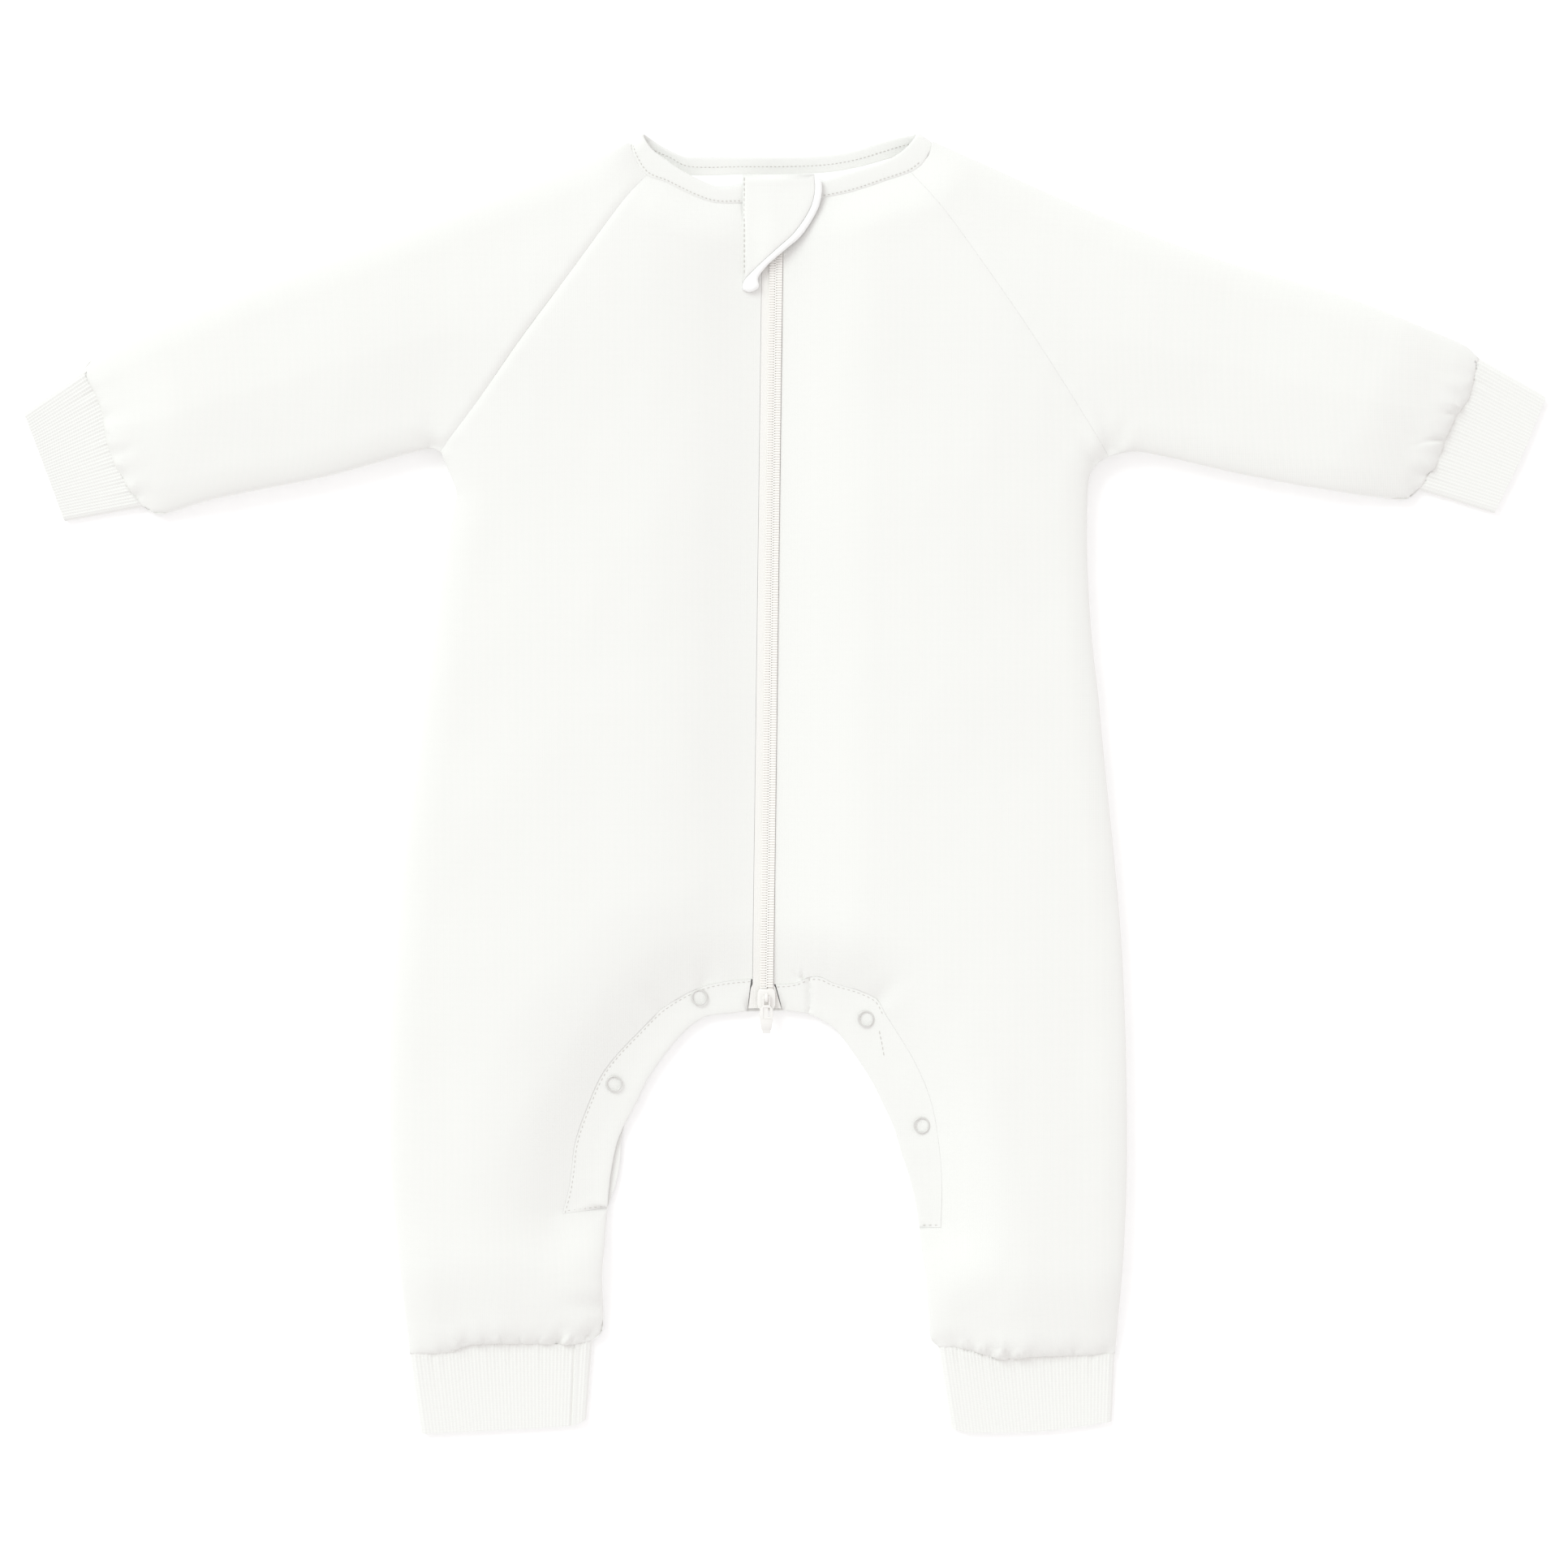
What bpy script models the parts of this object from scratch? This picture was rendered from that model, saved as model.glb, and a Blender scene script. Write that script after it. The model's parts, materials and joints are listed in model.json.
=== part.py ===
"""A padded sleep suit for a baby, with sleeves and legs, laid flat on its back and zipped up.

Sizes and places are in millimetres and become metres where a mesh is made. X runs across the
garment (minus X is on the left of the laid-out front), Y from the legs to the neck, Z up from the
surface it lies on. The garment is two layers of wadded cloth. They meet at a seam level, which
sinks towards the cuffs and the crotch, where the cloth is thin. Every wadded piece is the space
between two height functions over its own outline, so neighbours match along their seams.
"""

import math

import bmesh
import bpy
import numpy as np
from mathutils import Vector
from mathutils.geometry import delaunay_2d_cdt

MM = 0.001

# ---------------------------------------------------------------- cloth and wadding
SEAM_GAP = 0.3  # clearance between two pieces where they are sewn
EDGE_WALL = 1.6  # wadded cloth pressed by a seam
LOFT_SIDE = 8.6  # one wadded wall near a side of the garment
LOFT_MIDDLE = 11.0  # one wadded wall in the middle of the body
LOFT_MIDDLE_REACH = 70.0
LEVEL_BODY = 9.35  # seam level of the body and the upper sleeves
LEVEL_CUFF = 3.0  # seam level where a rib cuff is sewn on
LEVEL_CROTCH = 3.6  # seam level at the snap bands
LEVEL_REACH = 45.0  # length over which the seam level sinks
LAYER_EASE, EASE_REACH = 0.9, 15.0  # the layers lie this much looser away from the seams
SLOT = 0.6  # the space inside a flat tube

# How far in from an edge a wall is pressed, and how much of its loft is gone at that edge.
SIDE_ROUND = 16.0
UNDER_ROUND = 12.0
CUFF_ROUND = 12.0
NECK_ROUND = 10.0
BAND_ROUND = 11.0
RAGLAN_ROUND, RAGLAN_DEPTH = 5.0, 0.28
ZIP_ROUND, ZIP_DEPTH = 7.0, 0.76
BACK_NECK_ROUND = 10.0
BACK_NECK_TOP, BACK_NECK_UNDER = 4.6, 1.8  # the back panel's faces at the neckband

# ---------------------------------------------------------------- outlines: x, y of each point
SIDE_SEAM = {
    "left": ((-170, 164), (-164.5, 151), (-162, 142.5), (-165, 125), (-170, 95), (-175, 59),
             (-181.5, 11), (-186.5, -25), (-191, -73), (-194, -109), (-195, -145), (-194.5, -185),
             (-191.5, -221), (-188, -257), (-185.5, -281)),
    "right": ((159, 161.5), (153, 157.5), (149.5, 151), (148.5, 139), (148.5, 111), (150.5, 75),
              (154, 43), (157, 11), (161.5, -33), (165, -73), (167, -113), (168, -153),
              (168, -193), (166.5, -229), (164.5, -257), (162.5, -281)),
}
RAGLAN_SEAM = {  # from the neck to the armpit
    "left": ((-68.5, 300), (-80.5, 286), (-107, 250), (-131, 217.5), (-151, 189), (-170, 164)),
    "right": ((61.5, 301.5), (79, 281), (97, 256), (117.5, 226.5), (138, 195), (159, 161.5)),
}
SHOULDER_FOLD = {  # from the neck to the wrist
    "left": ((-77, 316), (-106, 304.5), (-144, 289), (-187, 272.5), (-230, 256.5), (-272, 240.5),
             (-312, 224.5), (-331, 215.5), (-342, 209.5), (-347, 204)),
    "right": ((72.5, 316.5), (99.5, 304.5), (135, 288.5), (174, 272.5), (219, 256.5),
              (274, 240.5), (315.5, 224.5), (334, 217), (342, 210.5)),
}
UNDERARM_SEAM = {  # from the armpit to the wrist
    "left": ((-170, 164), (-175, 165.5), (-183, 164), (-223.5, 152.5), (-263, 144.5),
             (-286.5, 139.5), (-305, 134), (-312, 134), (-317, 137)),
    "right": ((159, 161.5), (171, 164), (185, 162), (226.5, 152.5), (271, 144.5), (299, 141),
              (307, 141), (312.5, 145.5)),
}
WRIST_SEAM = {  # from the shoulder fold to the underarm seam
    "left": ((-347, 204), (-338.5, 187.5), (-335, 169.5), (-331, 158), (-324.5, 146.5),
             (-317, 137)),
    "right": ((342, 210.5), (340, 202), (337, 190.5), (331, 182), (325, 169), (322, 159.5),
              (317, 152), (312.5, 145.5)),
}
WRIST_HEM = {
    "left": ((-376, 183.5), (-366, 157), (-356, 130)),
    "right": ((375.5, 191.5), (364, 163), (350, 134)),
}
ANKLE_SEAM = {  # from the side seam to the inseam
    "left": ((-185.5, -281), (-167, -280.5), (-155, -276.5), (-131, -276), (-107, -276.5),
             (-95.5, -274.5)),
    "right": ((162.5, -281), (153, -281.5), (121, -282.5), (107.5, -284), (98.5, -281.5),
              (87, -278.5), (75.5, -277.5)),
}
ANKLE_HEM = {
    "left": ((-180, -320.5), (-147, -319), (-107, -316.5), (-98.5, -313.5)),
    "right": ((161, -314.5), (129, -319), (93, -320), (82, -318)),
}
INSEAM = {  # from the cuff up to the end of the snap band
    "left": ((-95.5, -274.5), (-91, -270.5), (-90, -264), (-90.5, -241.5), (-89.5, -229.5),
             (-88, -209)),
    "right": ((75.5, -277.5), (71.5, -273), (70.5, -262), (69, -241.5), (67, -229.5),
              (66, -218.5)),
}
CROTCH_EDGE = {  # the snap band's free edge, from its end on the inseam up to the zip
    "left": ((-88, -209), (-86.5, -194), (-83.5, -178), (-79, -167), (-73.5, -157),
             (-68, -145.5), (-59, -132.5), (-49, -121), (-39, -114.5), (-27, -113), (-19, -112)),
    "right": ((66, -218.5), (64, -205.5), (61, -193.5), (57, -181.5), (53.5, -169.5),
              (48, -157.5), (42, -145.5), (33.5, -132.5), (24, -120.5), (13, -114), (6.5, -112.5),
              (-1.5, -111.5)),
}
BACK_CROTCH_EDGE_LEFT = (  # the back layer shows past the left snap band here
    (-88, -209), (-84, -197), (-82, -187), (-81, -175), (-78.5, -165), (-73.5, -156),
    (-68, -145), (-59, -132), (-49, -120.5), (-39, -114), (-27, -112.5), (-17, -112))
BAND_SEAM = {  # where the front is sewn to the snap band, from the band's end up to the zip
    "left": ((-110, -211.5), (-107, -200), (-105.5, -190), (-104, -177.5), (-100.5, -166),
             (-95, -152), (-91.5, -144.5), (-86.5, -137), (-78.5, -128), (-72, -121.5),
             (-62, -111.5), (-50.5, -104), (-40, -99.5), (-28.5, -97), (-17, -96)),
    "right": ((76.5, -218.5), (77, -200), (76, -181.5), (72, -157.5), (64, -137.5),
              (54.5, -121.5), (49, -113), (45, -106), (36, -101.5), (29, -99.5), (22.5, -97.5),
              (17.5, -95), (11.5, -95), (6, -97.5), (0, -98.5), (-4.9, -98.6)),
}
FRONT_NECK_SEAM = {  # where the front and the sleeve meet the neckband, from the zip
    "left": ((-11.5, 286), (-21, 286.5), (-34.5, 286.5), (-45.5, 290), (-59, 296.5),
             (-68.5, 300), (-73, 306), (-77, 316)),
    "right": ((-0.5, 286), (18, 289), (33, 292), (48.5, 297), (61.5, 301.5), (67, 305.5),
              (71, 311), (72.5, 316.5)),
}
NECK_PIECES_MEET = {"left": 5, "right": 4}  # the point of the neck seam where the raglan ends
BACK_NECK_SEAM = ((-73.5, 309), (-69, 311), (-61, 308), (-49.5, 301), (-21, 301), (13.5, 301.5),
                  (33, 304), (50, 308.5), (62, 312), (69.5, 312))

# ---------------------------------------------------------------- zip
ZIP_TOP, ZIP_FOOT = (-4.4, 286.0), (-9.4, -99.5)  # the middle of the chain
ZIP_LEFT_EDGE, ZIP_RIGHT_EDGE = 7.0, 4.0  # from the middle of the chain to each front
TAPE_LIFT, TAPE_WALL = 1.4, 0.6  # above the seam level
COIL_LIFT, COIL_HEIGHT, COIL_HALF = 2.3, 2.2, 3.5
COIL_FOOT_Y, COIL_SHOULDER = -99.2, 1.2
TAPE_STEP_Y = -98.5
TAPE_FOLD = {  # the tape's end beside the slider: down its outer edge and up its inner edge
    "left": ((-18.0, -110.5), (-14.7, -110.5), (-14.5, -104.0), (-13.2, -98.5)),
    "right": ((-2.3, -110.5), (-4.4, -110.5), (-4.6, -104.0), (-6.1, -98.5)),
}

SLIDER_Y = -105.5
SLIDER_LENGTH = 12.0
SLIDER_ROWS = ((3.0, -6.0), (4.5, -3.0), (4.5, 1.5), (3.0, 6.0))  # half width, along from SLIDER_Y
SLIDER_PLATE = 1.0
SLIDER_UNDER_LIFT, SLIDER_TOP_LIFT = 0.35, 4.9
SLIDER_NECK_HALF, SLIDER_NECK_LENGTH = 1.0, 7.0
CROWN_INNER, CROWN_OUTER, CROWN_HALF_WIDTH, CROWN_STEPS = 1.45, 2.35, 0.75, 8
HINGE_LIFT = 1.9  # of the pull's crossbar above the slider's top plate
HINGE_Y = SLIDER_Y + 0.6
PULL_THICK, PULL_DROOP_DEG = 1.3, 8.0
PULL_OUTLINE = ((-2.2, 0.65), (-2.2, -9.5), (-3.3, -10.6), (-2.1, -18.4), (2.1, -18.4),
                (3.3, -10.6), (2.2, -9.5), (2.2, 0.65))
PULL_EYE = ((-1.1, -0.65), (1.1, -0.65), (1.1, -3.6), (-1.1, -3.6))

# ---------------------------------------------------------------- trims
BAND_WALL, BAND_SOFT = 2.6, 4.0
BAND_CREASE = {"x": 11.5, "top": -97.0, "foot": -113.0, "width": 2.4, "depth": 0.9}
SNAPS = {"snap_left_upper": (-42.5, -105.0), "snap_left_lower": (-84.5, -147.5),
         "snap_right_upper": (39.5, -115.5), "snap_right_lower": (67.0, -168.0)}
SNAP_RADIUS, SNAP_WIRE = 3.55, 0.55
NECKBAND_WALL = 2.4
NECKBAND_FRONT_Z, NECKBAND_BACK_Z = 10.8, 3.2
NECKBAND_ROWS = (  # seam x, seam y, free edge x, free edge y, layer (1 front, 0 back)
    (-11.8, 286.4, -11.8, 294.9, 1.0), (-21, 286.9, -22.5, 294.9, 1.0),
    (-34, 286.9, -32.5, 293.9, 1.0), (-45, 290.4, -41, 297, 1.0),
    (-58.6, 297, -51.5, 302.5, 1.0), (-67.8, 300.6, -59.5, 308, 1.0),
    (-72.2, 306.4, -65.5, 312.5, 1.0), (-74.8, 312.4, -69, 317.2, 0.93),
    (-75.3, 316.4, -70.8, 320.6, 0.5), (-73.2, 314, -66.5, 318.6, 0.07),
    (-68.6, 311.8, -61, 315, 0.0), (-60.5, 308.6, -51, 310.2, 0.0),
    (-49.2, 301.6, -44, 309.6, 0.0), (-21, 301.5, -21, 309.6, 0.0), (13.5, 302, 13, 310, 0.0),
    (32.8, 304.6, 31.5, 312.2, 0.0), (49.6, 309.2, 46, 316.6, 0.0),
    (60.5, 312.6, 57, 319.6, 0.0), (67.4, 313.2, 62.6, 320.2, 0.07),
    (70.8, 316.8, 64.8, 320.8, 0.5), (70.0, 312, 62.8, 317.4, 0.93),
    (66.4, 306, 57.4, 311.8, 1.0), (61, 302, 51, 307.8, 1.0),
    (48.2, 297.6, 44.6, 305, 1.0), (33, 292.5, 30, 300.5, 1.0), (18, 289.4, 17.6, 296.8, 1.0),
    (0.2, 286.4, 0.2, 294.9, 1.0))
NECKBAND_STEP = 6.5
NECKBAND_SECTION = (  # share of the width from the seam, half walls from the middle
    (0.0, -0.8), (0.7, -1.0), (1.0, -0.5), (1.0, 0.5), (0.7, 1.0), (0.0, 0.8))

GUARD_WALL, BINDING_WALL, GUARD_REST = 2.2, 2.6, 0.8
GUARD_LATTICE = 6.0
GUARD_LEFT_X, GUARD_TOP_Y = -21.3, 300.0
GUARD_EDGE = ((14.0, 300.0), (14.2, 291), (11.5, 282), (4.5, 271.5), (-3.5, 264), (-12.5, 256),
              (-19.5, 249), (-21.3, 245.5))
BINDING_EDGE = ((14.0, 300.0), (17.6, 296.5), (17.6, 289), (15, 281), (8, 270), (-0.5, 262.5),
                (-9, 255), (-13.5, 249), (-13, 244.6), (-17.5, 242), (-21.3, 243.3))

# ---------------------------------------------------------------- rib cuffs
CUFF_WALL = 2.0
RIB_PITCH, RIB_HEIGHT = 1.85, 0.45
CUFF_ROWS = 3
CUFF_SWELL = 1.0  # the cuff is this much higher where it is sewn to the wadding
CUFF_SIDE_ROUND = 3.0
CUFF_SEAM_SHARE = 0.01  # of the cuff's length that is left free at the seam
CUFF_SIDE_RIBS = 2  # the points of the top that pass before the plain faces begin
FAN = 6  # points of the ribbed top to each point of the plain faces

# ---------------------------------------------------------------- largest folds of the cloth
# x, y where the fold starts, heading in degrees, length, half width, depth
FOLDS = (
    (-157, -275, 92, 9, 2.6, 1.6), (-125, -275, 84, 8, 2.4, 1.3), (-113, -275, 62, 13, 2.4, 2.4),
    (-97, -272, 55, 10, 2.6, 1.6), (-91, -257, 176, 22, 4.0, 1.4), (-140, -275, 95, 6, 2.2, 1.0),
    (-168, -280, 80, 7, 2.6, 0.9),
    (84, -278, 95, 7, 2.2, 1.2), (92, -279, 88, 8, 2.2, 1.4), (101, -281, 84, 9, 2.4, 1.6),
    (110, -283, 80, 9, 2.4, 1.5), (120, -282, 92, 7, 2.4, 1.1), (138, -281, 90, 6, 2.6, 0.8),
    (157, -281, 38, 9, 3.0, 1.6),
    (331, 182, 168, 14, 2.4, 2.0), (325, 169, 172, 23, 2.6, 1.8), (323, 162, 160, 10, 2.2, 1.3),
    (318, 153, 176, 11, 2.4, 1.6), (338, 195, 190, 8, 2.6, 1.0),
    (-337, 181, 350, 9, 2.6, 1.0), (-333, 164, 355, 11, 2.6, 1.3), (-328, 152, 8, 10, 2.4, 1.4),
    (-321, 142, 12, 10, 2.4, 1.5),
    (-172, 165, 152, 16, 3.0, 1.8), (-170, 166, 118, 20, 3.2, 1.2), (-167, 158, 296, 12, 3.0, 1.0),
    (160, 163, 104, 24, 3.4, 2.0), (163, 164, 74, 17, 3.0, 1.6), (152, 158, 118, 14, 3.0, 1.6),
    (155, 160, 62, 26, 3.6, 1.3),
    (8.5, -97, 94, 12, 2.6, 2.6), (-38, -99, 100, 15, 4.0, 1.2), (-60, -110, 128, 18, 4.0, 1.0),
    (46, -106, 52, 16, 4.0, 1.0),
)

# ---------------------------------------------------------------- the space inside a sleeve
SLOT_INNER = 6.0  # in from the fold and from the underarm seam
SLOT_ENDS = {  # corners past the sleeve's ends
    "left": {"neck": (-50, 315), "armpit": (-140, 172), "wrist_top": (-360, 196),
             "wrist_foot": (-332, 128)},
    "right": {"neck": (45, 315), "armpit": (130, 170), "wrist_top": (356, 202),
              "wrist_foot": (326, 137)},
}

# ---------------------------------------------------------------- mesh spacing
RINGS = (0.9, 3.2, 7.6, 15.0)  # how far in from an outline its inner rings of points lie
FEW_RINGS = (1.0, 5.0, 12.0)
INSIDE_RINGS = (6.0, 18.0)
SEAM_STEP, FINE_STEP, LATTICE, FINE_LATTICE = 18.0, 5.5, 32.0, 15.0
LATTICE_MARGIN = 0.55
SAME_POINT = 0.55  # corners closer than this are one

MATERIALS = {  # colour, roughness
    "shell_cotton": ((0.91, 0.905, 0.885), 0.85),
    "rib_knit": ((0.91, 0.905, 0.885), 0.85),
    "white_binding": ((0.97, 0.97, 0.96), 0.8),
    "zip_tape": ((0.88, 0.875, 0.85), 0.7),
    "zip_nylon": ((0.88, 0.86, 0.82), 0.35),
    "zip_metal": ((0.86, 0.85, 0.81), 0.35),
    "snap_metal": ((0.84, 0.83, 0.80), 0.3),
}


def clear_scene():
    for obj in list(bpy.data.objects):
        bpy.data.objects.remove(obj)


# ---------------------------------------------------------------- curves
def through(points, step):
    """Points about `step` apart on the smooth curve that passes through every given point."""
    ends = [Vector(p) for p in points]
    ends = [2 * ends[0] - ends[1]] + ends + [2 * ends[-1] - ends[-2]]
    found = [ends[1]]
    for before, start, end, after in zip(ends, ends[1:], ends[2:], ends[3:]):
        count = max(1, round((end - start).length / step))
        for i in range(1, count + 1):
            t = i / count
            found.append(0.5 * (2 * start + (end - before) * t
                                + (2 * before - 5 * start + 4 * end - after) * t ** 2
                                + (3 * start - before - 3 * end + after) * t ** 3))
    return [tuple(p) for p in found]


def joined(*edges):
    """One closed loop, anticlockwise, from edges that follow each other."""
    loop = []
    for edge in edges:
        loop += [p for p in edge if not loop or math.dist(p, loop[-1]) > SAME_POINT]
    if math.dist(loop[0], loop[-1]) < SAME_POINT:
        loop.pop()
    turned = sum(a[0] * b[1] - b[0] * a[1] for a, b in zip(loop, loop[1:] + loop[:1]))
    return loop if turned > 0 else loop[::-1]


def inset(loop, distance):
    """Each point of an anticlockwise loop moved inwards, square to its two neighbours."""
    moved = []
    for before, here, after in zip(loop[-1:] + loop[:-1], loop, loop[1:] + loop[:1]):
        along = Vector(after) - Vector(before)
        inwards = Vector((-along.y, along.x)).normalized()
        moved.append(tuple(Vector(here) + inwards * distance))
    return moved


def distance(points, *edges):
    """The distance of each point to the nearest of these polylines."""
    points = np.asarray(points, float).reshape(-1, 2)
    nearest = np.full(len(points), np.inf)
    for edge in edges:
        line = np.asarray(edge, float)
        for start, end in zip(line, line[1:]):
            run = end - start
            share = np.clip((points - start) @ run / max(run @ run, 1e-9), 0, 1)
            away = points - start - share[:, None] * run
            nearest = np.minimum(nearest, np.hypot(away[:, 0], away[:, 1]))
    return nearest


def inside(points, loop):
    """Which points lie inside a closed loop."""
    points = np.asarray(points, float).reshape(-1, 2)
    found = np.zeros(len(points), bool)
    for (ax, ay), (bx, by) in zip(loop, loop[1:] + loop[:1]):
        crosses = (ay > points[:, 1]) != (by > points[:, 1])
        at = ax + (points[:, 1] - ay) * (bx - ax) / (by - ay if by != ay else 1e-9)
        found ^= crosses & (points[:, 0] < at)
    return found


SIDES = ("left", "right")
CURVE_STEP = 6.0
SILHOUETTE = [through(table[side], CURVE_STEP) for side in SIDES
              for table in (SIDE_SEAM, SHOULDER_FOLD, UNDERARM_SEAM, INSEAM)]
CROTCH = [through(CROTCH_EDGE[side], CURVE_STEP) for side in SIDES]
CROTCH.append([CROTCH_EDGE["left"][-1], CROTCH_EDGE["right"][-1]])
CUFF_SEAMS = [through(table[side], CURVE_STEP) for side in SIDES
              for table in (WRIST_SEAM, ANKLE_SEAM)]
RAGLANS = [through(RAGLAN_SEAM[side], CURVE_STEP) for side in SIDES]
FRONT_NECK = [through(FRONT_NECK_SEAM[side], CURVE_STEP) for side in SIDES]
BACK_NECK = through(BACK_NECK_SEAM, CURVE_STEP)
BANDS = [through(BAND_SEAM[side], CURVE_STEP) for side in SIDES]


def zip_x(y, offset=0.0):
    """The middle of the zip chain at this height, moved sideways by `offset`."""
    share = (y - ZIP_FOOT[1]) / (ZIP_TOP[1] - ZIP_FOOT[1])
    return ZIP_FOOT[0] + share * (ZIP_TOP[0] - ZIP_FOOT[0]) + offset


def zip_edge(offset, top, foot, step=SEAM_STEP):
    count = max(1, round(abs(top - foot) / step))
    heights = [top + (foot - top) * i / count for i in range(count + 1)]
    return [(zip_x(y, offset), y) for y in heights]


ZIP_EDGES = [zip_edge(-ZIP_LEFT_EDGE, ZIP_TOP[1], ZIP_FOOT[1]),
             zip_edge(ZIP_RIGHT_EDGE, ZIP_TOP[1], ZIP_FOOT[1])]


# ---------------------------------------------------------------- height of the cloth
def smooth(share):
    share = np.clip(share, 0, 1)
    return share * share * (3 - 2 * share)


def rounded(share):
    """A quarter circle: 0 at an edge, 1 where the wall has its full loft."""
    return np.sqrt(1 - (1 - np.clip(share, 0, 1)) ** 2)


def pressed(points, edges, reach, depth=1.0):
    """The share of the loft that is left near these edges."""
    return 1 - depth * (1 - rounded(distance(points, *edges) / reach))


def seam_level(points):
    """The height at which the front layer meets the back layer."""
    cuff = 1 - smooth(distance(points, *CUFF_SEAMS) / LEVEL_REACH)
    crotch = 1 - smooth(distance(points, *CROTCH) / LEVEL_REACH)
    return (LEVEL_BODY - (LEVEL_BODY - LEVEL_CUFF) * cuff
            - (LEVEL_BODY - LEVEL_CROTCH) * crotch).clip(LEVEL_CUFF)


def loft(points):
    middle = smooth(distance(points, *SILHOUETTE) / LOFT_MIDDLE_REACH)
    return LOFT_SIDE + (LOFT_MIDDLE - LOFT_SIDE) * middle


def fold_depth(points):
    """Soft troughs, deepest near the seam where each one starts."""
    points = np.asarray(points, float).reshape(-1, 2)
    total = np.zeros(len(points))
    for x, y, heading, length, half_width, depth in FOLDS:
        along = np.array([math.cos(math.radians(heading)), math.sin(math.radians(heading))])
        away = points - (x, y)
        run = away @ along / length
        aside = (away @ (-along[1], along[0])) / half_width
        fade = np.clip(1 - run, 0, 1) * smooth(run * 4 + 1)
        total += depth * fade * np.exp(-aside ** 2)
    return total


def front_top(points):
    """The outer face of the front layer, seams and folds included."""
    full = (pressed(points, SILHOUETTE, SIDE_ROUND) * pressed(points, CUFF_SEAMS, CUFF_ROUND)
            * pressed(points, FRONT_NECK, NECK_ROUND) * pressed(points, BANDS, BAND_ROUND)
            * pressed(points, RAGLANS, RAGLAN_ROUND, RAGLAN_DEPTH)
            * pressed(points, ZIP_EDGES, ZIP_ROUND, ZIP_DEPTH))
    rise = (loft(points) - EDGE_WALL) * full
    rise = np.maximum(rise - fold_depth(points), 0.25 * rise)
    return seam_level(points) + SEAM_GAP / 2 + EDGE_WALL + rise


def front_inside(points):
    return seam_level(points) + SEAM_GAP / 2


def back_inside(points):
    """The inner face of the back layer, which shows in the neck opening."""
    edges = SILHOUETTE + CROTCH + CUFF_SEAMS
    ease = LAYER_EASE * smooth(distance(points, *edges) / EASE_REACH)
    level = seam_level(points) - SEAM_GAP / 2 - ease
    sunk = 1 - rounded(distance(points, BACK_NECK) / BACK_NECK_ROUND)
    return level - (level - BACK_NECK_TOP) * sunk


def underside(points):
    """The outer face of the back layer: flat on the surface, rising to its seams."""
    edges = SILHOUETTE + CROTCH + CUFF_SEAMS
    rise = 1 - rounded(distance(points, *edges) / UNDER_ROUND)
    neck = 1 - rounded(distance(points, BACK_NECK) / BACK_NECK_ROUND)
    seam = (seam_level(points) - SEAM_GAP / 2 - EDGE_WALL) * rise
    return np.maximum(seam, BACK_NECK_UNDER * neck)


# ---------------------------------------------------------------- solids from outlines
def material(name):
    made = bpy.data.materials.get(name)
    if made is None:
        colour, roughness = MATERIALS[name]
        made = bpy.data.materials.new(name)
        made.use_nodes = True
        shader = made.node_tree.nodes["Principled BSDF"]
        shader.inputs["Base Color"].default_value = (*colour, 1)
        shader.inputs["Roughness"].default_value = roughness
        shader.inputs["Metallic"].default_value = 0.0
    return made


def add_object(name, data, finish, collection="padded_sleep_suit"):
    holder = bpy.data.collections.get(collection)
    if holder is None:
        holder = bpy.data.collections.new(collection)
        bpy.context.scene.collection.children.link(holder)
    obj = bpy.data.objects.new(name, data)
    data.materials.append(material(finish))
    holder.objects.link(obj)
    return obj


def object_from_bmesh(name, bm, finish, **where):
    """Points in millimetres become a mesh in metres with its faces turned outwards."""
    bmesh.ops.scale(bm, vec=(MM, MM, MM), verts=bm.verts)
    bmesh.ops.recalc_face_normals(bm, faces=bm.faces)
    mesh = bpy.data.meshes.new(name)
    bm.to_mesh(mesh)
    bm.free()
    mesh.shade_smooth()
    mesh.set_sharp_from_angle(angle=math.radians(50))
    return add_object(name, mesh, finish, **where)


def ring_points(loop, distances):
    """Points on rings inside a loop, without those that a corner brings too close to an edge."""
    closed = loop + loop[:1]
    found = []
    for away in distances:
        ring = np.array(inset(loop, away))
        near = distance(ring, closed)
        keep = (near > 0.9 * away) & inside(ring, loop)
        for point in ring[keep]:
            apart = 0.45 * away + 1.0
            if all(math.dist(point, other) > apart for other in found[-2:]):
                found.append(tuple(point))
    return found


def lattice_points(loop, spacing, margin):
    """A triangular lattice of points inside a loop, at least `margin` from its edge."""
    low, high = np.min(loop, axis=0), np.max(loop, axis=0)
    rows = range(int((high[1] - low[1]) / spacing) + 2)
    grid = [(low[0] + (i + 0.5 * (j % 2)) * spacing, low[1] + j * spacing) for j in rows
            for i in range(int((high[0] - low[0]) / spacing) + 2)]
    grid = np.array(grid)
    keep = inside(grid, loop) & (distance(grid, loop + loop[:1]) > margin)
    return [tuple(p) for p in grid[keep]]


def inner_points(loop, rings, lattice, fine=None):
    """Rings along the outline, then a lattice, closer set where the seam level sinks."""
    found = ring_points(loop, rings)
    edge = max(rings, default=0)
    close = []
    if fine:
        close = lattice_points(loop, fine, edge + LATTICE_MARGIN * fine)
        close = [p for p, away in zip(close, distance(close, *CUFF_SEAMS, *CROTCH))
                 if away < LEVEL_REACH + fine]
    if lattice:
        wide = lattice_points(loop, lattice, edge + LATTICE_MARGIN * lattice)
        found += [p for p, away in zip(wide, distance(wide, *CUFF_SEAMS, *CROTCH))
                  if not fine or away > LEVEL_REACH + 1.5 * fine]
    return found + close


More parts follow.
